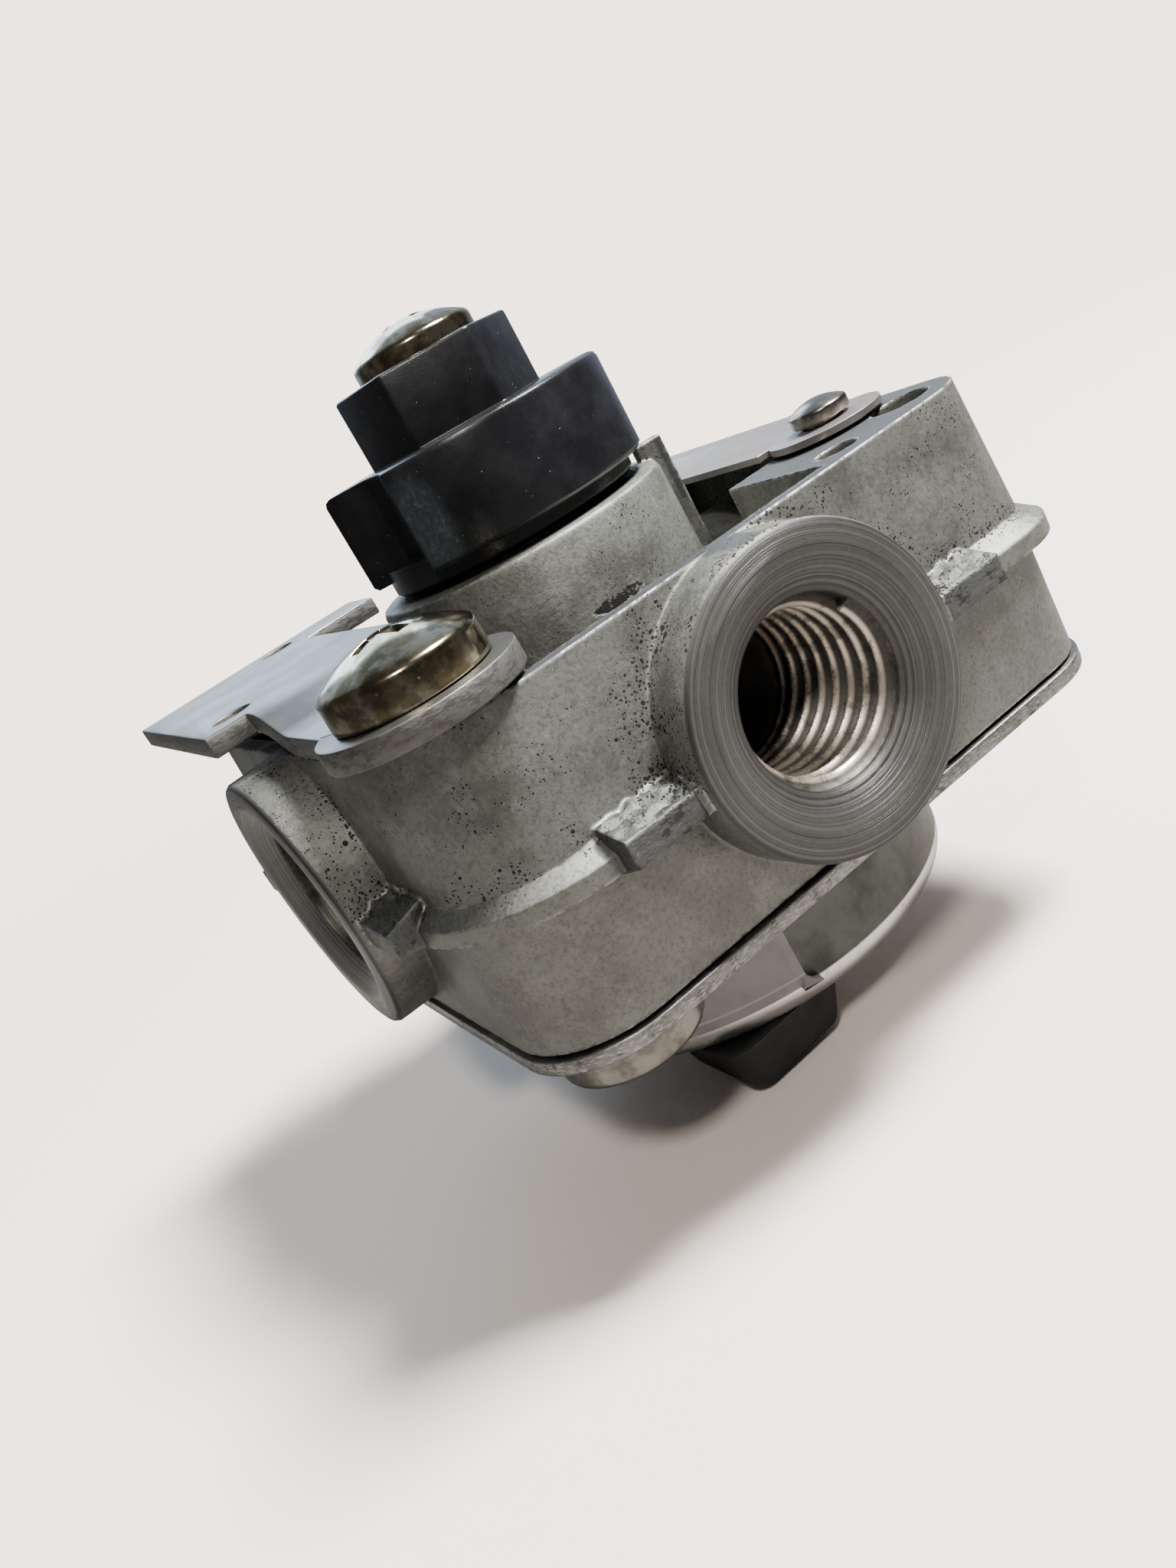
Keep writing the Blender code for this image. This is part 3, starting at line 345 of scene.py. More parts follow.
class Finish:
    """A material mixed from nodes, with its pattern laid out in millimetres."""

    def __init__(self, name, **fixed):
        self.material = bpy.data.materials.new(name)
        self.material.use_nodes = True
        self.tree = self.material.node_tree
        self.shader = self.tree.nodes["Principled BSDF"]
        for socket, value in fixed.items():
            self.shader.inputs[socket.replace("_", " ")].default_value = value
        here = self.add("ShaderNodeTexCoord", out="Object")
        self.mm = self.add("ShaderNodeVectorMath", {"operation": "SCALE"}, {0: here, "Scale": 1000.0})
        self.x, self.y, self.z = (self.add("ShaderNodeSeparateXYZ", {}, {0: self.mm}, out=k) for k in "XYZ")

    def add(self, kind, settings=None, sockets=None, out=0):
        """Bring in one node: its type, its settings, then the values or links of its sockets."""
        node = self.tree.nodes.new(kind)
        for what, value in (settings or {}).items():
            setattr(node, what, value)
        for where, value in (sockets or {}).items():
            if isinstance(value, Tone):
                self.tree.links.new(value.socket, node.inputs[where])
            else:
                node.inputs[where].default_value = value
        return Tone(self, node.outputs[out])

    def place(self, shift, scale):
        """The pattern's coordinates, moved and stretched."""
        return self.add("ShaderNodeMapping", {}, {"Vector": self.mm, "Location": shift, "Scale": scale})

    def cloud(self, size, detail=4.0, rough=0.55, shift=0.0, stretch=(1, 1, 1)):
        """Noise whose blotches are about this many millimetres wide."""
        where = self.place((shift, shift * 0.7, -shift), tuple(s / size for s in stretch))
        return self.add("ShaderNodeTexNoise", {}, {"Vector": where, "Scale": 1.0, "Detail": detail,
                                                   "Roughness": rough})

    def cells(self, size, shift=0.0, stretch=(1, 1, 1)):
        """Distance from scattered points about this many millimetres apart."""
        where = self.place((shift, -shift, shift * 0.6), tuple(s / size for s in stretch))
        return self.add("ShaderNodeTexVoronoi", {}, {"Vector": where, "Scale": 1.0, "Randomness": 1.0},
                        out="Distance")

    def stronger(self, first, second):
        """The stronger of two masks."""
        return self.add("ShaderNodeMath", {"operation": "MAXIMUM"}, {0: first, 1: second})

    def ease(self, value, low, high, start=0.0, end=1.0):
        """Follow a value from one level to another, smoothly."""
        return self.add("ShaderNodeMapRange", {"interpolation_type": "SMOOTHSTEP"},
                        {"Value": value, "From Min": low, "From Max": high, "To Min": start, "To Max": end})

    def blend(self, first, second, share):
        """The first colour turning into the second."""
        first, second = (c if isinstance(c, Tone) else (*c, 1.0) for c in (first, second))
        return self.add("ShaderNodeMix", {"data_type": "RGBA"}, {0: share, 6: first, 7: second}, out=2)

    def rise(self, height, depth, under=None):
        """Raise the surface by a height in millimetres."""
        sockets = {"Height": height, "Distance": depth * 0.001, "Strength": 1.0}
        if under:
            sockets["Normal"] = under
        return self.add("ShaderNodeBump", {}, sockets)

    def soft_edge(self, radius):
        """The normal of a rounded edge, radius in millimetres, and a mask of where it runs."""
        soft = self.add("ShaderNodeBevel", {"samples": 8}, {"Radius": radius * 0.001})
        flat = self.add("ShaderNodeNewGeometry", out="Normal")
        along = self.add("ShaderNodeVectorMath", {"operation": "DOT_PRODUCT"}, {0: soft, 1: flat},
                         out="Value")
        return soft, self.ease(along, 0.995, 0.85)

    def length(self, vector):
        return self.add("ShaderNodeVectorMath", {"operation": "LENGTH"}, {0: vector}, out="Value")

    def spot(self, x, y, z, wide, tall=None, deep=None):
        """A soft oval patch round a place, sizes in millimetres."""
        deep, tall = deep or wide, tall or wide
        away = self.place((-x / wide, -y / deep, -z / tall), (1 / wide, 1 / deep, 1 / tall))
        return self.ease(self.length(away), 1.0, 0.5)

    def use(self, **links):
        """Connect what varies to the shader's sockets."""
        for socket, value in links.items():
            self.tree.links.new(value.socket, self.shader.inputs[socket.replace("_", " ")])
        return self.material


def fit(piece, material, body, slot, *nodes):
    """Give a finished piece its material, its body and the CAD node that it stands for."""
    piece.data.materials.clear()
    piece.data.materials.append(material)
    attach(piece, body)
    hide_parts(*nodes)
    return piece


cast = Finish("die_cast_zinc", Metallic=0.80)
soft, edge = cast.soft_edge(0.40)
stain = cast.ease(cast.cloud(6.0, 5.0, 0.65), 0.40, 0.66)
patch = cast.cloud(2.0, 4.0, 0.65, 11.0)
grain = cast.cloud(0.32, 4.0, 0.75, 3.0)
upper_part = cast.ease(cast.z, -1.2, 0.8)
# Which port a point belongs to, and how far it is from that port's axis
out_front = cast.y * -1.0
out_side = abs(cast.x)
at_front = out_front > out_side
across = at_front * cast.x + (1.0 - at_front) * cast.y
reach = at_front * out_front + (1.0 - at_front) * out_side
from_axis = (across * across + cast.z * cast.z) ** 0.5
faced = cast.ease(reach, 27.10, 27.18)
faced = faced * cast.ease(from_axis, 5.92, 6.02) * cast.ease(from_axis, 10.34, 10.22)
in_bore = cast.ease(from_axis, 6.16, 6.02) * cast.ease(reach, 16.0, 16.5)
crest = cast.ease(from_axis, 5.62, 5.34) * in_bore * cast.ease(reach, 15.4, 15.8)
deep = cast.ease(reach, 16.4, 15.2) * cast.ease(from_axis, 6.2, 6.0)
lathe = cast.add("ShaderNodeTexNoise", {"noise_dimensions": "1D"},
                 {"W": from_axis * 2.6, "Scale": 1.0, "Detail": 5.0, "Roughness": 0.85})
cut_marks = cast.ease(lathe + cast.cloud(0.5, 3.0, 0.7, 31.0) * 0.12, 0.40, 0.72)
# Painted shade deep inside the neck, round the greased stem
from_stem = (cast.x * cast.x + cast.y * cast.y) ** 0.5
well = cast.ease(from_stem, 10.6, 10.2) * cast.ease(cast.z, 8.6, 9.2)
# Pinholes gather round the bosses and along the parting line
crowded = cast.ease(from_axis, 14.0, 10.9) * 0.70 + cast.ease(abs(cast.z - 0.9), 1.9, 0.3) * 0.60
crowded = crowded * cast.ease(reach, 20.0, 23.5) + cast.ease(cast.cloud(3.4, 3.0, 0.6, 17.0), 0.44, 0.66)
pit = (cast.cells(0.42, 5.0) + (1.0 - crowded) * 0.15) < 0.185
fine_pit = (cast.cells(0.27, 21.0) + (1.0 - crowded) * 0.20) < 0.190
hole = (cast.cells(1.15, 9.0) + (1.0 - crowded) * 0.12) < 0.105
pit = cast.stronger(cast.stronger(pit, fine_pit), hole) * (0.25 + 0.75 * upper_part)
pit = pit * (1.0 - faced) * (1.0 - in_bore)
flaw = cast.ease(cast.cloud(0.7, 5.0, 0.7, 3.0) * cast.spot(-1.1, -12.1, 8.3, 3.4, 0.75, 2.0), 0.36, 0.46)
# Blotches that vary the painted shade in the bores and the painted glint on the thread crests
bore_blotch = cast.ease(cast.cloud(1.6, 5.0, 0.65, 23.0), 0.48, 0.66)
tab = cast.ease(reach, 24.9, 25.2) * cast.ease(from_axis, 10.8, 11.0)
tab = tab * cast.ease(abs(cast.z + 0.6), 2.0, 1.8) * cast.ease(abs(across), 17.0, 16.4)
skin = cast.blend((0.222, 0.230, 0.215), (0.132, 0.134, 0.122), stain)
skin = cast.blend(skin, (0.300, 0.308, 0.296), cast.ease(patch, 0.50, 0.70) * 0.50)
skin = cast.blend(skin, (0.255, 0.263, 0.248), (1.0 - upper_part) * 0.35)
skin = cast.blend(skin, (0.095, 0.091, 0.084), cast.ease(grain, 0.52, 0.36) * 0.50)
skin = cast.blend(skin, (0.420, 0.420, 0.408), cast.ease(grain, 0.57, 0.74) * (1.0 - tab) * 0.40)
torn = cast.cloud(1.3, 5.0, 0.65, 41.0, (1, 1, 1.8))
skin = cast.blend(skin, (0.085, 0.090, 0.092), tab * 0.8)
skin = cast.blend(skin, (0.170, 0.175, 0.176), tab * cast.ease(torn, 0.52, 0.66) * 0.7)
skin = cast.blend(skin, (0.040, 0.037, 0.034), tab * cast.ease(torn, 0.44, 0.38) * 0.8)
# Painted shade and reflection: the tops of the rim, pad and posts are coloured darker and bluish, like the
# cool light they mirror
painted_top_shade = cast.ease(cast.z, 10.28, 10.36) * cast.ease(from_stem, 12.3, 12.6)
skin = cast.blend(skin, (0.066, 0.072, 0.084), painted_top_shade * 0.80)
root = cast.ease(abs(from_axis - 10.4), 0.7, 0.4) * cast.ease(reach, 25.4, 25.1)
bare = edge * cast.ease(cast.cloud(0.8, 4.0, 0.7, 7.0), 0.42, 0.60) * (1.0 - tab * 0.8)
skin = cast.blend(skin, (0.640, 0.645, 0.645), (1.0 - root) * bare * 0.75)
# Painted shade: the turned faces are coloured darker than the cast skin, for the dark surroundings they
# mirror; their rings are real cut marks
turned_face = cast.blend((0.065, 0.066, 0.066), (0.160, 0.159, 0.155), cut_marks)
skin = cast.blend(skin, turned_face, faced)
# Painted shade: the threaded bores are coloured near black, in blotches
skin = cast.blend(skin, (0.040, 0.034, 0.028), in_bore * (0.70 + 0.25 * bore_blotch))
# Painted highlight: the thread crests are coloured warm near white, dimmer in the blotches
skin = cast.blend(skin, (0.900, 0.800, 0.680), crest * cast.ease(bore_blotch, 1.0, 0.0, 0.35, 1.0))
skin = cast.blend(skin, (0.018, 0.016, 0.015), cast.stronger(pit, flaw) * 0.92)
# Painted shade: near black deep inside the bores and the neck
skin = cast.blend(skin, (0.016, 0.015, 0.014), cast.stronger(well, deep))
rough = 0.46 + 0.22 * grain - 0.08 * (1.0 - upper_part) - 0.12 * faced - 0.22 * crest + 0.2 * pit
height = grain * 0.55 + patch * 0.6 - pit * 1.4 - flaw * 2.0
normal = cast.rise(height * (0.45 + 0.55 * upper_part) * (1.0 - faced * 0.92), 0.060, soft)
normal = cast.rise(cut_marks * faced, 0.014, normal)
normal = cast.rise(torn * tab, 0.220, normal)
cast_skin = cast.use(Base_Color=skin, Roughness=rough, Normal=normal)
fit(housing, cast_skin, "housing", "cast_zinc", "valve_body")


# Valve inside
# The brass plug with its stem turns in the housing on two O-rings; a seal, a bush, a washer and a
# snap ring close the neck round the stem. All of it is bought in or turned, and greased.
def plain_metal(name, bright, dark, rough, scratch, metal=1.0):
    """Turned or rolled metal: fine marks round the axis, duller patches and light edges."""
    finish = Finish(name, Metallic=metal)
    soft, edge = finish.soft_edge(0.12)
    dull = finish.ease(finish.cloud(2.2, 4.0, 0.6), 0.40, 0.65)
    marks = finish.cloud(0.9, 4.0, 0.6, 5.0, (1, 1, scratch))
    colour = finish.blend(bright, dark, dull * 0.8)
    colour = finish.blend(colour, [min(1.0, c * 1.25) for c in bright], edge * 0.7)
    return finish.use(Base_Color=colour, Roughness=rough + 0.16 * dull + 0.08 * marks,
                      Normal=finish.rise(marks, 0.010, soft))


def soft_stuff(name, colour, light, rough, size=0.6):
    """Moulded rubber or plastic: an even colour with a faint cloud and grain."""
    finish = Finish(name, Metallic=0.0)
    soft, edge = finish.soft_edge(0.12)
    cloud = finish.cloud(size * 4.0, 4.0, 0.6)
    grain = finish.cloud(size * 0.3, 3.0, 0.6, 7.0)
    paler = finish.ease(cloud, 0.35, 0.7) * 0.6 + edge * 0.3
    return finish.use(Base_Color=finish.blend(colour, light, paler), Roughness=rough + 0.12 * cloud,
                      Normal=finish.rise(grain, 0.008, soft))


def dress(material, *names):
    """Give carried-over CAD nodes their material."""
    for name in names:
        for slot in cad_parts[name].material_slots:
            slot.material = material


brass = plain_metal("turned_brass", (0.74, 0.57, 0.28), (0.50, 0.36, 0.16), 0.24, 12.0)
steel = plain_metal("bare_steel", (0.56, 0.56, 0.56), (0.38, 0.37, 0.36), 0.30, 6.0)
rubber = soft_stuff("black_rubber", (0.020, 0.020, 0.021), (0.045, 0.044, 0.043), 0.62)
dress(brass, "rotor_plug", "gland_bush")
dress(steel, "thrust_washer", "retaining_ring")
dress(rubber, "plug_oring_lower", "plug_oring_upper", "stem_seal", "cover_seal", "drive_seal")


# Cam and hexagon
# One moulding in black plastic, pressed on the flat of the stem: a drum whose shallow notch lets a
# switch roller drop, and a hexagon on top that a spanner fits.
CAM_R, CAM_LOW, CAM_HIGH = 0.0114, 0.0158, 0.0233
ACROSS_FLATS, HEX_HIGH, HEX_TURN = 0.0123, 0.0288, -51.7
SCREW_SEAT = 0.0276
NOTCH_FROM, NOTCH_TO, NOTCH_DEPTH, NOTCH_HALF = 160.0, 213.0, 0.0032, 0.0016
TOOL_HALF, TOOL_END = 0.004, -0.016     # the notch's cutter before its walls are slanted
cam = turned("cam_hub_piece", [
    (CAM_R - 0.0003, CAM_LOW), (CAM_R, CAM_LOW + 0.0003), (CAM_R, CAM_HIGH - 0.0005),
    (CAM_R - 0.00015, CAM_HIGH - 0.00015), (CAM_R - 0.0005, CAM_HIGH)], 120)


def height_of(e):
    return abs(e.verts[0].co.z - e.verts[1].co.z)


mouth = [Vector([CAM_R * c for c in facing(a)]) for a in (NOTCH_FROM, NOTCH_TO)]
floor_x = -CAM_R + NOTCH_DEPTH
notch = rounded_block("notch", (TOOL_END, -TOOL_HALF, 0.0120), (floor_x, TOOL_HALF, 0.0270))
edit(notch)
for side, corner in ((1, mouth[0]), (-1, mouth[1])):
    # The notch's two walls lean out from its floor to the corners in the drum
    foot_y, edge_y = side * NOTCH_HALF, side * TOOL_HALF
    slope_y = corner.y + (corner.y - foot_y) * (corner.x - TOOL_END) / (floor_x - corner.x)
    for x, y in ((TOOL_END, slope_y), (floor_x, foot_y)):
        pick("verts", lambda v: abs(v.co.x - x) < 1e-5 and abs(v.co.y - edge_y) < 1e-5)
        bpy.ops.transform.translate(value=(0, y - edge_y, 0))
pick("edges", lambda e: all(abs(v.co.x - floor_x) < 1e-5 for v in e.verts) and height_of(e) > 0.005)
bpy.ops.mesh.bevel(offset=0.0011, segments=6, affect="EDGES")
bpy.ops.object.mode_set(mode="OBJECT")
shape_with(cam, settle(notch))
edit(cam)
pick("edges", lambda e: height_of(e) > 0.004 and e.calc_face_angle(0) > 0.30
     and all(min((v.co.xy - m.xy).length for m in mouth) < 0.0006 for v in e.verts))
bpy.ops.mesh.bevel(offset=0.0008, segments=5, affect="EDGES")
bpy.ops.object.mode_set(mode="OBJECT")
start_clean()
bpy.ops.mesh.primitive_cylinder_add(vertices=6, radius=ACROSS_FLATS / math.sqrt(3),
                                    depth=HEX_HIGH - CAM_HIGH + 0.002,
                                    location=(0, 0, (HEX_HIGH + CAM_HIGH - 0.002) / 2))
hexagon = settle(bpy.context.object, "hexagon")
edit(hexagon)
pick("edges", lambda e: height_of(e) > 0.004)
bpy.ops.mesh.bevel(offset=0.00035, segments=3, affect="EDGES")
pick("edges", lambda e: all(v.co.z > HEX_HIGH - 1e-5 for v in e.verts))
bpy.ops.mesh.bevel(offset=0.00025, segments=2, affect="EDGES")
bpy.ops.object.mode_set(mode="OBJECT")
hexagon.rotation_euler = (0, 0, math.radians(HEX_TURN))
shape_with(cam, settle(hexagon), "UNION")
shape_with(cam, turned("stem_room", [(0.0040, 0.015), (0.0040, 0.0271)], 48))
shape_with(cam, turned("screw_room", [
    (CLEAR_R, 0.020), (CLEAR_R, SCREW_SEAT), (0.00505, SCREW_SEAT), (0.00505, 0.0300)], 48))
# A black skirt under the drum: a dark sheet that stands in for the shade in the gap above the neck
skirt = turned("skirt", [
    (0.0098, NECK_TOP + 0.0003), (0.0101, NECK_TOP + 0.0006), (0.0101, CAM_LOW + 0.001)], 72)
shape_with(skirt, turned("skirt_room", [(0.0066, 0.013), (0.0066, 0.018)], 48))
shape_with(cam, skirt, "UNION")
soften(cam, 0)

black = Finish("black_moulding", Metallic=0.0, IOR=1.50)
soft, edge = black.soft_edge(0.22)
smoke = black.cloud(3.0, 5.0, 0.62)
grain = black.cloud(0.14, 3.0, 0.6, 4.0)
rub = black.ease(black.cloud(0.35, 6.0, 0.75, 9.0, (1, 1, 0.7)), 0.44, 0.70)
# A lighter, bluish patch by the notch's front corner: real scuffs and rub marks, and a painted highlight
# where the drum catches the light
scuff_and_sheen = black.spot(-8.9, -7.2, 18.6, 2.3, 5.0, 2.3)
dust = black.ease(black.cells(0.55, 2.0), 0.10, 0.05)
dust = dust * black.ease(black.cloud(1.5, 3.0, 0.6, 6.0), 0.50, 0.60)
colour = black.blend((0.006, 0.006, 0.008), (0.012, 0.013, 0.016), black.ease(smoke, 0.35, 0.70))
# Painted highlight with scuffs: the patch by the notch turns lighter and bluish
colour = black.blend(colour, (0.070, 0.092, 0.112), scuff_and_sheen * (0.35 + 0.45 * rub) + edge * 0.03)
colour = black.blend(colour, (0.330, 0.330, 0.330), dust * 0.7)
fit(cam, black.use(Base_Color=colour, Roughness=0.20 + 0.16 * smoke + 0.20 * rub * scuff_and_sheen,
                   Normal=black.rise(grain + rub * scuff_and_sheen, 0.008, soft)), "rotor", "black_plastic", "cam_hub")


# Yellow screws
# Steel pan head screws with a cross recess, zinc plated and yellow chromated: one holds the cam on
# the stem, a wider one holds the switch bracket on the front left post.
WING_HALF, WING_DEPTH, WING_TURN = 0.00062, 0.0017, 20.0
SHANK_R = 0.0023


def pan_screw(name, x, y, seat, shank, head_r, head_h, length, up=1, cross=0.0):
    """Shank, underside, upright side, then the dome; the recess is four tapered wings."""
    side, bend = head_h * 0.48, head_h * 0.16
    crown = [(head_r - bend * (1 - math.cos(a)), side + bend * math.sin(a))
             for a in (math.radians(58 * i / 5) for i in range(6))]
    edge_r, edge_z = crown[-1]
    crown += [(edge_r * (1 - i / 12), edge_z + (head_h - edge_z) * (1 - (1 - i / 12) ** 2))
              for i in range(1, 12)]
    profile = [(shank * 0.8, -length), (shank, -length + shank * 0.3), (shank, 0), (head_r * 0.97, 0),
               (head_r, 0.00015)] + crown
    piece = turned(name, [(r, seat + up * z) for r, z in profile], 56, at=(x, y, 0))
    if cross:
        for turn in (0, 90):
            wing = rounded_block("wing", (-cross, -WING_HALF, head_h - WING_DEPTH),
                                 (cross, WING_HALF, head_h + 0.001))
            edit(wing)
            pick("faces", lambda f: f.normal.z < -0.9)
            bpy.ops.transform.resize(value=(0.55, 0.55, 1), center_override=(0, 0, 0))
            bpy.ops.object.mode_set(mode="OBJECT")
            wing.rotation_euler = (0, 0, math.radians(turn + WING_TURN))
            wing.location = (x, y, seat)
            shape_with(piece, settle(wing))
    edit(piece)
    bpy.ops.mesh.select_all(action="SELECT")
    bpy.ops.mesh.normals_make_consistent(inside=False)
    return soften(piece, 0)


gold = Finish("yellow_chromate", Metallic=1.0)
soft, edge = gold.soft_edge(0.15)
film = gold.cloud(1.8, 3.0, 0.55)
olive = gold.ease(gold.cloud(1.3, 3.0, 0.60, 8.0), 0.46, 0.62)
white = gold.ease(gold.cells(0.8, 3.0), 0.16, 0.08) * gold.ease(gold.cloud(1.2, 3.0, 0.6, 2.0), 0.48, 0.60)
colour = gold.blend((0.660, 0.600, 0.450), (0.330, 0.270, 0.160), gold.ease(film, 0.42, 0.60))
colour = gold.blend(colour, (0.110, 0.110, 0.060), olive * 0.65)
colour = gold.blend(colour, (0.620, 0.640, 0.640), edge * 0.5)
colour = gold.blend(colour, (0.700, 0.700, 0.690), white * 0.25)
gold_skin = gold.use(Base_Color=colour, Roughness=0.08 + 0.14 * film + 0.12 * white,
                     Normal=gold.rise(film, 0.004, soft))
cam_screw = pan_screw("cam_screw_piece", 0, 0, 0.0279, SHANK_R, 0.00475, 0.0037, 0.0080, 1, 0.0026)
fit(cam_screw, gold_skin, "rotor", "yellow_zinc", "cam_screw")
bracket_screw = pan_screw("bracket_screw_piece", -BRACKET_AT, -BRACKET_AT, 0.01232, SHANK_R, 0.0052,
                          0.0039, 0.0093, 1, 0.0029)
fit(bracket_screw, gold_skin, "housing", "yellow_zinc", "bracket_screw")


# Switch bracket
# Sheared and bent from 1.6 mm sheet: a round lobe under its screw, a ramp, and a raised plate with the
# two holes that the switch was screwed to.
SHEET = 0.0016
SHEET_LOW = 0.0107
EDGE_LEFT, EDGE_RIGHT = -0.0247, -0.01255
LOBE_R = 0.0066
start_clean()
bpy.ops.mesh.primitive_circle_add(vertices=96, radius=LOBE_R, fill_type="NGON",
                                  location=(-BRACKET_AT, -BRACKET_AT, SHEET_LOW))
bracket = settle(bpy.context.object, "switch_bracket_piece")
left_y = -BRACKET_AT + math.sqrt(LOBE_R ** 2 - (BRACKET_AT + EDGE_LEFT) ** 2)
right_x = right_y = -BRACKET_AT + LOBE_R * math.sqrt(0.5)
left_end, right_end = Vector((EDGE_LEFT, left_y, SHEET_LOW)), Vector((right_x, right_y, SHEET_LOW))
edit(bracket)
bpy.ops.mesh.select_all(action="SELECT")
line = (right_end - left_end).normalized()
bpy.ops.mesh.bisect(plane_co=left_end, plane_no=(-line.y, line.x, 0), use_fill=False, clear_outer=True,
                    threshold=1e-6)


def near(v, x, y):
    return abs(v.co.x - x) < 2e-4 and abs(v.co.y - y) < 2e-4


def pull_edge(ends, dx, dy, dz=0.0):
    """Extrude the sheet's edge between two places."""
    pick("edges", lambda e: any(near(e.verts[0], *ends[k]) and near(e.verts[1], *ends[1 - k])
                                for k in (0, 1)))
    bpy.ops.mesh.extrude_region_move(TRANSFORM_OT_translate={"value": (dx, dy, dz)})


def slide_corner(x, y, to_x, to_y):
    pick("verts", lambda v: near(v, x, y))
    bpy.ops.transform.translate(value=(to_x - x, to_y - y, 0))


RAMP_START, RAMP_END, RAISE, BEND = -0.0071, -0.0024, 0.0017, 0.0011
PLATE_FRONT, PLATE_BACK, PLATE_LEFT = -0.0005, 0.0290, -0.0280
TOE_FRONT, TOE_X = 0.0220, -0.0055
SWITCH_HOLE_R, SWITCH_HOLES = 0.0015, ((-0.0249, 0.0035), (-0.0146, 0.0257))
pull_edge(((left_end.x, left_end.y), (right_end.x, right_end.y)), 0, RAMP_START - left_end.y)
slide_corner(right_end.x, right_end.y + RAMP_START - left_end.y, EDGE_RIGHT, RAMP_START)
pull_edge(((EDGE_LEFT, RAMP_START), (EDGE_RIGHT, RAMP_START)), 0, RAMP_END - RAMP_START, RAISE)
pull_edge(((EDGE_LEFT, RAMP_END), (EDGE_RIGHT, RAMP_END)), 0, PLATE_FRONT - RAMP_END)
pull_edge(((EDGE_LEFT, PLATE_FRONT), (EDGE_RIGHT, PLATE_FRONT)), 0, TOE_FRONT - PLATE_FRONT)
pull_edge(((EDGE_LEFT, TOE_FRONT), (EDGE_RIGHT, TOE_FRONT)), 0, PLATE_BACK - TOE_FRONT)
pull_edge(((EDGE_RIGHT, TOE_FRONT), (EDGE_RIGHT, PLATE_BACK)), TOE_X - EDGE_RIGHT, 0)
pick("edges", lambda e: all(abs(v.co.x - EDGE_LEFT) < 1e-5 and v.co.y > PLATE_FRONT - 1e-5
                            for v in e.verts))
bpy.ops.mesh.extrude_region_move(TRANSFORM_OT_translate={"value": (PLATE_LEFT - EDGE_LEFT, 0, 0)})
for y in (RAMP_START, RAMP_END):
    pick("edges", lambda e: all(abs(v.co.y - y) < 1e-5 for v in e.verts))
    bpy.ops.mesh.bevel(offset=BEND, segments=6, affect="EDGES")
bpy.ops.mesh.select_all(action="SELECT")
bpy.ops.mesh.normals_make_consistent(inside=False)
bpy.ops.object.mode_set(mode="OBJECT")
if bracket.data.polygons[0].normal.z < 0:
    bracket.data.flip_normals()
gauge = bracket.modifiers.new("gauge", "SOLIDIFY")
gauge.thickness, gauge.offset, gauge.use_even_offset = SHEET, 1.0, True
bpy.ops.object.modifier_apply(modifier="gauge")
shape_with(bracket, turned("screw_clearance", [(CLEAR_R, 0.009), (CLEAR_R, 0.014)], 40,
                           at=(-BRACKET_AT, -BRACKET_AT, 0)))
for x, y in SWITCH_HOLES:
    shape_with(bracket, turned("switch_hole", [(SWITCH_HOLE_R, 0.010), (SWITCH_HOLE_R, 0.016)], 40,
                               at=(x, y, 0)))
soften(bracket, 0.00016, 2, 50)

sheet = Finish("plated_sheet", Metallic=0.95)
soft, edge = sheet.soft_edge(0.14)
level = sheet.add("ShaderNodeNewGeometry", out="Normal")
upright = abs(sheet.add("ShaderNodeSeparateXYZ", {}, {0: level}, out="Z"))
sheared = sheet.ease(upright, 0.45, 0.25)
torn = sheet.ease(sheet.cloud(0.9, 4.0, 0.6, 6.0, (1, 1, 2)), 0.40, 0.66)
film = sheet.cloud(5.0, 4.0, 0.6)
haze = sheet.ease(sheet.cloud(1.4, 5.0, 0.65, 4.0), 0.45, 0.70)
colour = sheet.blend((0.180, 0.178, 0.172), (0.130, 0.130, 0.127), sheet.ease(film, 0.38, 0.66))
colour = sheet.blend(colour, (0.190, 0.185, 0.175), haze * 0.25)
shorn = sheet.blend((0.190, 0.187, 0.182), (0.110, 0.107, 0.104), torn)
colour = sheet.blend(colour, shorn, sheared * 0.85)
colour = sheet.blend(colour, (0.500, 0.500, 0.490), edge * 0.55)
sheet_skin = sheet.use(Base_Color=colour, Roughness=0.34 + 0.16 * film + 0.20 * sheared,
                       Normal=sheet.rise(torn * sheared + haze * 0.2, 0.020, soft))
fit(bracket, sheet_skin, "housing", "plated_sheet", "switch_bracket")


# Side plate
# A thin stamped plate that half covers the recess on the right, under two small plated screws.
SIDE_LOW, SIDE_HIGH, EAR_R = 0.0107, 0.0112, 0.0043
EARS = (SIDE_SCREW, (POST_AT, POST_AT))
side = rounded_block("side_plate_piece", (0.0141, -0.0120, SIDE_LOW), (0.0237, 0.0190, SIDE_HIGH))
for x, y in EARS:
    shape_with(side, turned("ear", [(EAR_R, SIDE_LOW), (EAR_R, SIDE_HIGH)], 56, at=(x, y, 0)), "UNION")
for x, y in EARS:
    shape_with(side, turned("ear_hole", [(SMALL_TAP_R, 0.009), (SMALL_TAP_R, 0.013)], 32, at=(x, y, 0)))
soften(side, 0.0001, 2, 50)
thin = Finish("thin_plated_sheet", Metallic=0.9)
soft, edge = thin.soft_edge(0.10)
film = thin.cloud(3.0, 4.0, 0.6)
fleck = thin.ease(thin.cloud(0.5, 4.0, 0.6, 5.0), 0.55, 0.70)
colour = thin.blend((0.370, 0.345, 0.335), (0.300, 0.280, 0.272), thin.ease(film, 0.38, 0.66))
colour = thin.blend(colour, (0.190, 0.180, 0.170), fleck * 0.3)
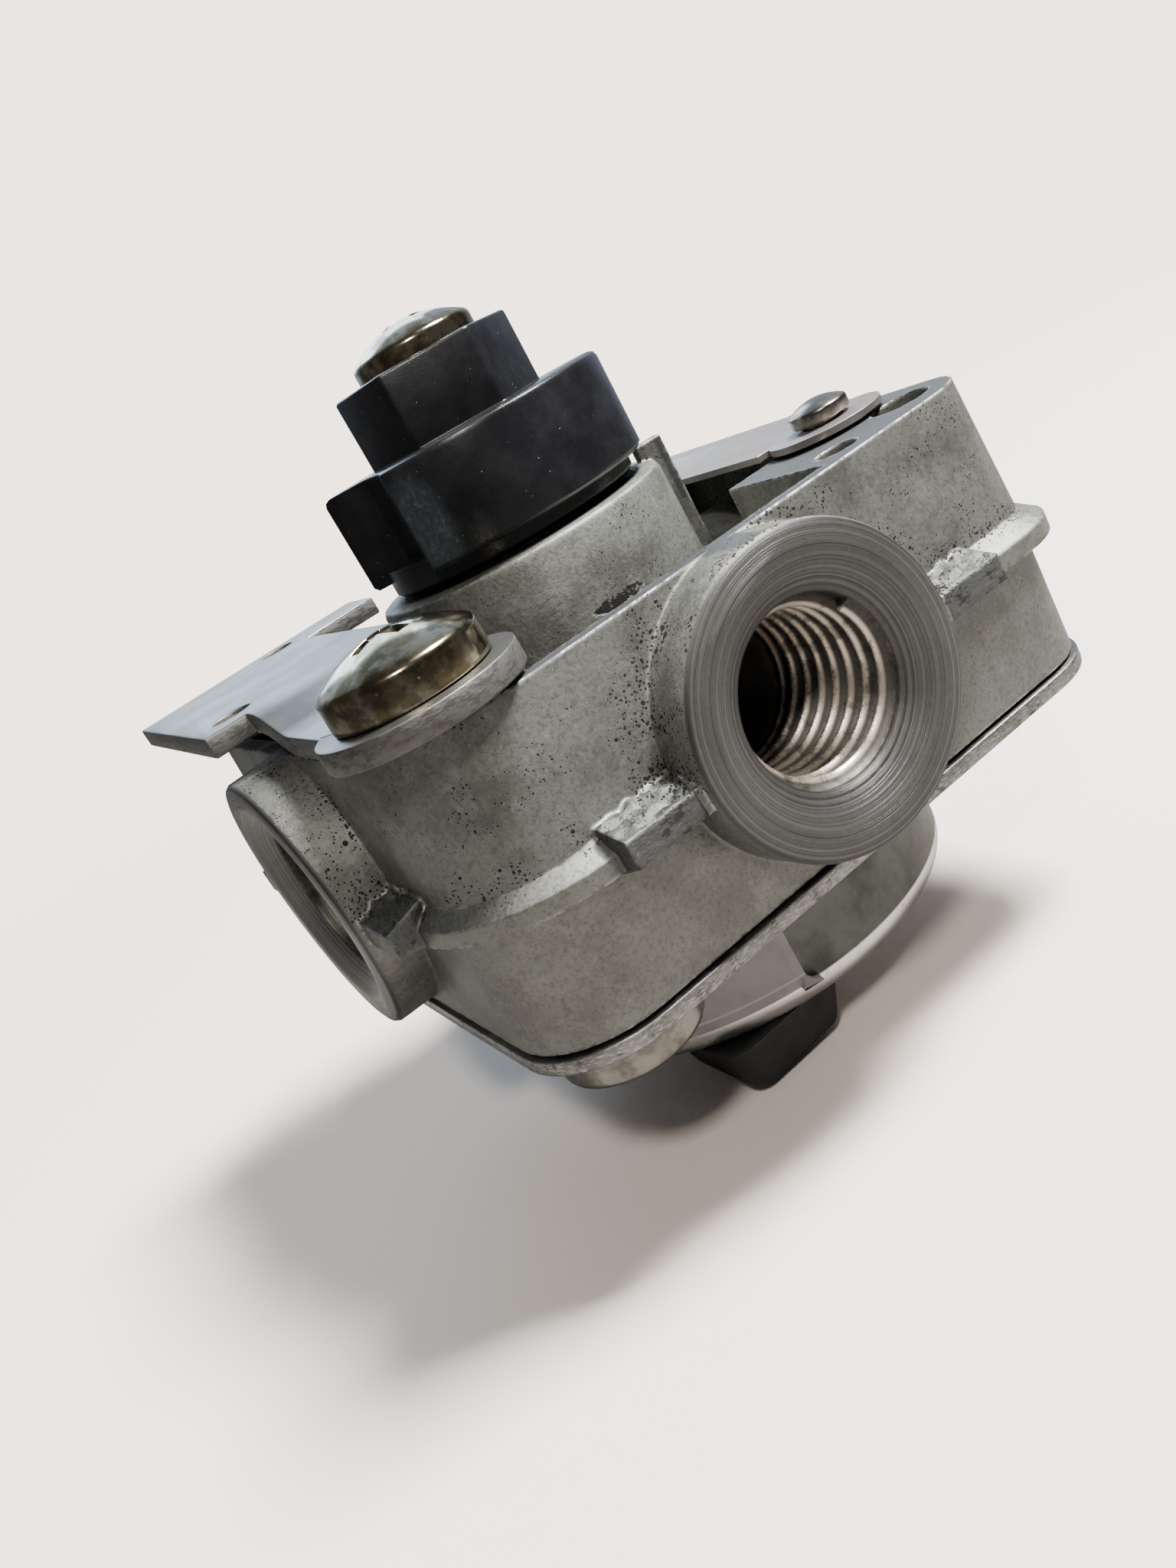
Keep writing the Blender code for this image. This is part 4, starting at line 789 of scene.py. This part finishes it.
colour = thin.blend(colour, (0.560, 0.550, 0.540), edge * 0.6)
thin_skin = thin.use(Base_Color=colour, Roughness=0.38 + 0.14 * film,
                     Normal=thin.rise(film + fleck, 0.012, soft))
fit(side, thin_skin, "housing", "plated_sheet", "side_plate")

bright = plain_metal("bright_zinc_screw", (0.30, 0.29, 0.26), (0.12, 0.11, 0.095), 0.18, 4.0)
for where, (x, y) in zip(("front", "rear"), EARS):
    small = pan_screw("side_screw_" + where, x, y, 0.0115, 0.0013, 0.0022, 0.0015, 0.0050)
    fit(small, bright, "housing", "bright_zinc", "side_plate_screw_" + where)


# Cover
# A punched sheet, zinc plated bright, that closes the casting's foot over the flat seal and carries
# the motor. Two pan head screws on a diagonal hold it.
COVER_HALF, COVER_TOP, COVER_LOW = 0.0253, -0.0107, -0.0118
DRIVE_HOLE_R = 0.0054
cover = rounded_block("cover_plate_piece", (-COVER_HALF, -COVER_HALF, COVER_LOW),
                      (COVER_HALF, COVER_HALF, COVER_TOP), [r + 0.0003 for r in LOWER_CORNERS])
shape_with(cover, turned("drive_hole", [(DRIVE_HOLE_R, -0.013), (DRIVE_HOLE_R, -0.010)], 48))
for s in (-1, 1):
    shape_with(cover, turned("cover_hole", [(CLEAR_R, -0.013), (CLEAR_R, -0.010)], 32,
                             at=(s * POST_AT, s * POST_AT, 0)))
soften(cover, 0.00018, 2, 50)
plate = Finish("bright_zinc_plate", Metallic=1.0)
soft, edge = plate.soft_edge(0.16)
level = plate.add("ShaderNodeNewGeometry", out="Normal")
sheared = plate.ease(abs(plate.add("ShaderNodeSeparateXYZ", {}, {0: level}, out="Z")), 0.5, 0.2)
torn = plate.cloud(0.60, 6.0, 0.7, 3.0, (1, 1, 5.0))
dirt = plate.ease(plate.cloud(1.1, 5.0, 0.65, 7.0), 0.50, 0.68)
film = plate.cloud(4.0, 4.0, 0.6, 2.0)
colour = plate.blend((0.300, 0.300, 0.296), (0.200, 0.197, 0.190), plate.ease(film, 0.38, 0.66))
colour = plate.blend(colour, (0.080, 0.072, 0.062), dirt * (0.25 + 0.60 * sheared))
streak = plate.ease(torn, 0.48, 0.66) * sheared * 0.6 + edge * 0.4
colour = plate.blend(colour, (0.820, 0.815, 0.800), streak)
plate_skin = plate.use(Base_Color=colour, Roughness=0.26 + 0.14 * film + 0.20 * dirt,
                       Normal=plate.rise(torn * sheared, 0.035, soft))
fit(cover, plate_skin, "housing", "bright_zinc", "cover_plate")
for where, s in (("front", -1), ("rear", 1)):
    screw = pan_screw("cover_screw_piece_" + where, s * POST_AT, s * POST_AT, COVER_LOW - 0.0001,
                      SHANK_R, 0.0052, 0.0042, 0.0091, -1)
    fit(screw, bright, "housing", "bright_zinc", "cover_screw_" + where)


# Motor
# A drawn steel cup, bright zinc plated, holds the small synchronous motor and its gears. A plain label
# is stuck round its side. Inside it sit the coil on its bobbin, the magnet rotor and the moulded wheels.
CAN_R, CAN_TOP, CAN_END, CAN_BEND, CAN_WALL = 0.0188, -0.0121, -0.0224, 0.0018, 0.0006
WIRE_R = 0.0015
bend = [(CAN_R - CAN_BEND + CAN_BEND * math.cos(a), CAN_END + CAN_BEND - CAN_BEND * math.sin(a))
        for a in (math.radians(90 - 90 * i / 8) for i in range(9))]
can = turned("motor_can_piece", bend + [
    (CAN_R, CAN_TOP - 0.0001), (CAN_R - 0.0001, CAN_TOP), (CAN_R - 0.0005, CAN_TOP),
    (CAN_R - CAN_WALL, CAN_TOP - 0.0001), (CAN_R - CAN_WALL, CAN_END + CAN_WALL)], 128)
BLOCK_X, BLOCK_Y = -0.0070, -0.0107
shape_with(can, turned("wire_hole", [(WIRE_R, -0.024), (WIRE_R, -0.021)], 24, at=(BLOCK_X, BLOCK_Y, 0)))
soften(can, 0)
tin = Finish("drawn_zinc_plated_steel", Metallic=1.0)
soft, edge = tin.soft_edge(0.15)
draw = tin.cloud(1.6, 4.0, 0.6, 0.0, (1, 1, 0.12))
film = tin.cloud(5.0, 4.0, 0.6, 5.0)
spot = tin.ease(tin.cloud(0.8, 5.0, 0.65, 9.0), 0.58, 0.72)
# Painted shade: the can's bright zinc is coloured dark, as it lies in the shade under the housing
colour = tin.blend((0.120, 0.126, 0.116), (0.060, 0.062, 0.056), tin.ease(film, 0.38, 0.66))
# Painted reflection: a near white band round the bottom bend, where it mirrors the lit paper
colour = tin.blend(colour, (0.960, 0.950, 0.930), tin.ease(tin.z, -20.3, -20.5))
colour = tin.blend(colour, (0.090, 0.078, 0.070), spot * 0.40)
colour = tin.blend(colour, (0.780, 0.780, 0.770), edge * 0.4)
tin_skin = tin.use(Base_Color=colour, Roughness=0.20 + 0.12 * film + 0.10 * draw + 0.15 * spot,
                   Normal=tin.rise(draw + film, 0.018, soft))
fit(can, tin_skin, "housing", "bright_zinc", "motor_can")

LABEL_IN, LABEL_OUT, LABEL_CORNER = 0.0189, 0.01905, 0.0009
LABEL_FROM, LABEL_TO = 182.0, 254.0
LABEL_LOW, LABEL_HIGH = CAN_END + CAN_BEND + 0.00027, CAN_TOP - 0.0009
label = rounded_block("motor_label_piece", (LABEL_IN, -0.0002, LABEL_LOW), (LABEL_OUT, 0.0, LABEL_HIGH))
edit(label)
pick("faces", lambda f: f.normal.y > 0.9)
# The spin runs clockwise, seen from above, so it starts at the label's far end
bpy.ops.mesh.spin(steps=40, dupli=False, angle=math.radians(LABEL_TO - LABEL_FROM), center=(0, 0, 0),
                  axis=(0, 0, 1))
bpy.ops.mesh.select_all(action="SELECT")
bpy.ops.mesh.normals_make_consistent(inside=False)
pick("edges", lambda e: e.calc_length() < 0.0003 and height_of(e) < 1e-6
     and len(e.link_faces) == 2 and e.calc_face_angle(0) > 1.2)
bpy.ops.mesh.bevel(offset=LABEL_CORNER, segments=5, affect="EDGES")
bpy.ops.object.mode_set(mode="OBJECT")
label.rotation_euler = (0, 0, math.radians(LABEL_TO))
settle(label)
soften(label, 0)
card = Finish("bare_label", Metallic=0.0)
weave = card.cloud(0.25, 4.0, 0.6)
film = card.cloud(3.0, 4.0, 0.6, 3.0)
border = card.ease(abs(card.z + 19.55), 0.12, 0.06)
colour = card.blend((0.400, 0.380, 0.400), (0.330, 0.315, 0.335), card.ease(film, 0.38, 0.66))
colour = card.blend(colour, (0.640, 0.620, 0.620), border * 0.7)
card_skin = card.use(Base_Color=colour, Roughness=0.38 + 0.15 * film, Normal=card.rise(weave, 0.006))
fit(label, card_skin, "housing", "label", "motor_label")

nylon = soft_stuff("white_nylon", (0.780, 0.760, 0.700), (0.860, 0.850, 0.800), 0.40)
ferrite = soft_stuff("ferrite", (0.060, 0.060, 0.064), (0.110, 0.110, 0.115), 0.50)
copper = plain_metal("enamelled_copper", (0.66, 0.30, 0.15), (0.42, 0.17, 0.08), 0.30, 14.0)
dress(steel, "motor_plate", "output_shaft", "gear_post", "pole_plate")
dress(nylon, "output_gear", "cluster_gear", "coil_bobbin")
dress(ferrite, "magnet_rotor")
dress(copper, "coil_winding")


# Terminal block
# A black moulding on the can's end, narrower below, with two flat tinned blades at its back.
BLOCK_HALF, BLOCK_HIGH, BLOCK_LOW, BLOCK_CORNER = 0.0056, -0.0225, -0.0269, 0.0018
BLADE_Z = BLOCK_HIGH - 0.00265
BLADE_PITCH, BLADE_HALF_W, BLADE_HALF_T, BLADE_GAP = 0.0042, 0.0014, 0.00025, 0.0003
# The blades run back from the block along Y, in slots that end inside it
BLADE_FRONT, BLADE_BACK, SLOT_BACK = -0.0091, -0.0011, -0.0031
block = rounded_block("terminal_block", (BLOCK_X - BLOCK_HALF, BLOCK_Y - BLOCK_HALF, BLOCK_LOW),
                      (BLOCK_X + BLOCK_HALF, BLOCK_Y + BLOCK_HALF, BLOCK_HIGH), (BLOCK_CORNER,) * 4, 6)
edit(block)
pick("faces", lambda f: f.normal.z < -0.9)
bpy.ops.transform.resize(value=(0.77, 0.77, 1), center_override=(BLOCK_X, BLOCK_Y, BLOCK_LOW))
pick("edges", lambda e: all(v.co.z < BLOCK_LOW + 1e-5 for v in e.verts))
bpy.ops.mesh.bevel(offset=0.0009, segments=5, affect="EDGES")
bpy.ops.object.mode_set(mode="OBJECT")
tinned = plain_metal("tinned_blade", (0.66, 0.65, 0.62), (0.48, 0.47, 0.44), 0.24, 3.0)
for k, s in ((1, -1), (2, 1)):
    x = BLOCK_X + s * BLADE_PITCH / 2
    slot_half_w, slot_half_t = BLADE_HALF_W + BLADE_GAP, BLADE_HALF_T + BLADE_GAP
    slot_tool = rounded_block("blade_slot",
                              (x - slot_half_w, BLADE_FRONT - BLADE_GAP, BLADE_Z - slot_half_t),
                              (x + slot_half_w, SLOT_BACK, BLADE_Z + slot_half_t))
    shape_with(block, slot_tool)
    blade = rounded_block("blade_%d" % k, (x - BLADE_HALF_W, BLADE_FRONT, BLADE_Z - BLADE_HALF_T),
                          (x + BLADE_HALF_W, BLADE_BACK, BLADE_Z + BLADE_HALF_T))
    edit(blade)
    pick("edges", lambda e: all(v.co.y > BLADE_BACK - 0.0001 for v in e.verts)
         and abs(e.verts[0].co.x - e.verts[1].co.x) < 1e-5)
    bpy.ops.mesh.bevel(offset=0.0006, segments=2, affect="EDGES")
    bpy.ops.object.mode_set(mode="OBJECT")
    soften(blade, 0.00006, 2, 50)
    fit(blade, tinned, "housing", "steel", "terminal_blade_%d" % k)
soften(block, 0)
terminal_plastic = soft_stuff("terminal_plastic", (0.022, 0.022, 0.024), (0.050, 0.048, 0.050), 0.42)
fit(block, terminal_plastic, "housing", "black_plastic", "terminal_housing")


# Floor, lights and camera
# White paper under the valve, a large warm window high on the right, a faint cool light behind, a small
# lamp at the front left, a dim room round them, and the camera where the photograph was taken from.
FLOOR, PAPER, PAPER_R = -0.0277, (0.94, 0.86, 0.80), 0.30
start_clean()
bpy.ops.mesh.primitive_circle_add(vertices=64, radius=PAPER_R, fill_type="NGON", location=(0, 0, FLOOR))
paper = settle(bpy.context.object, "paper")
pulp = Finish("paper", Roughness=0.9, Metallic=0.0)
fibre = pulp.cloud(2.0, 4.0, 0.6)
tint = pulp.blend(PAPER, [c * 0.98 for c in PAPER], fibre)
# The paper sends less light back at the valve than a lone camera ray sees of it
seen_by_camera = pulp.add("ShaderNodeLightPath", out="Is Camera Ray")
pulp.use(Base_Color=pulp.blend((0.230, 0.215, 0.200), tint, seen_by_camera))
# The paper fades away towards its rim
clear = pulp.add("ShaderNodeBsdfTransparent")
paper_and_air = pulp.add("ShaderNodeMixShader", {}, {
    0: pulp.ease(pulp.length(pulp.mm), 130.0, 300.0), 1: Tone(pulp, pulp.shader.outputs[0]), 2: clear})
pulp.tree.links.new(paper_and_air.socket, pulp.tree.nodes["Material Output"].inputs["Surface"])
paper.data.materials.append(pulp.material)

world = bpy.data.worlds.new("studio")
bpy.context.scene.world = world
world.use_nodes = True
nodes, link = world.node_tree.nodes, world.node_tree.links.new
# The dim room grows blue towards the far window; the camera sees the pale backdrop in its place
BRIGHT_SIDE, DIM, BLUE = (0.36, 0.86, 0.36), (0.070, 0.068, 0.066, 1.0), (0.45, 0.56, 0.72, 1.0)
direction, towards = nodes.new("ShaderNodeTexCoord"), nodes.new("ShaderNodeVectorMath")
towards.operation = "DOT_PRODUCT"
towards.inputs[1].default_value = BRIGHT_SIDE
link(direction.outputs["Generated"], towards.inputs[0])
share = nodes.new("ShaderNodeMapRange")
share.interpolation_type = "SMOOTHSTEP"
share.inputs["From Min"].default_value, share.inputs["From Max"].default_value = 0.55, 0.99
link(towards.outputs["Value"], share.inputs["Value"])
tones = nodes.new("ShaderNodeMix")
tones.data_type = "RGBA"
tones.inputs[6].default_value, tones.inputs[7].default_value = DIM, BLUE
link(share.outputs[0], tones.inputs[0])
room, backdrop = nodes["Background"], nodes.new("ShaderNodeBackground")
link(tones.outputs[2], room.inputs["Color"])
backdrop.inputs["Color"].default_value = (1.0, 0.84, 0.74, 1.0)
backdrop.inputs["Strength"].default_value = 4.0
seen, choose = nodes.new("ShaderNodeLightPath"), nodes.new("ShaderNodeMixShader")
link(seen.outputs["Is Camera Ray"], choose.inputs[0])
link(room.outputs[0], choose.inputs[1])
link(backdrop.outputs[0], choose.inputs[2])
link(choose.outputs[0], nodes["World Output"].inputs["Surface"])

# Name, place, size, power in watts, colour
LIGHTS = (("window", (0.48, -0.24, 0.88), 0.30, 52.0, (1.0, 0.97, 0.93)),
          ("sky", (0.16, 0.60, 0.34), 0.40, 2.2, (0.70, 0.85, 1.0)),
          ("lamp", (-0.20, -0.42, 0.46), 0.07, 2.3, (1.0, 0.93, 0.84)))
for name, place, size, power, colour in LIGHTS:
    bpy.ops.object.light_add(type="AREA", location=place)
    lamp = bpy.context.object
    lamp.name = name
    lamp.data.size, lamp.data.energy, lamp.data.color = size, power, colour
    lamp.rotation_mode = "QUATERNION"
    lamp.rotation_quaternion = (-Vector(place)).to_track_quat("-Z", "Y")

CAMERA_AT = (-0.040009, -0.087351, 0.024697)
FOCUS_PIXELS, PICTURE_HIGH, SENSOR = 1630.150436, 2048, 36.0     # focal length in the picture's pixels
right = Vector((0.74914402, -0.46106301, -0.47560923))
up = Vector((0.56039361, 0.05830124, 0.82617188))
back = Vector((-0.35318868, -0.88545009, 0.30205279))
bpy.ops.object.camera_add()
camera = bpy.context.object
camera.name = "camera"
camera.matrix_world = Matrix([(*axes, at) for *axes, at in zip(right, up, back, CAMERA_AT)]
                             + [(0, 0, 0, 1)])
camera.data.sensor_fit, camera.data.sensor_width = "AUTO", SENSOR
camera.data.lens = FOCUS_PIXELS * SENSOR / PICTURE_HIGH
camera.data.clip_start = 0.001
bpy.context.scene.camera = camera
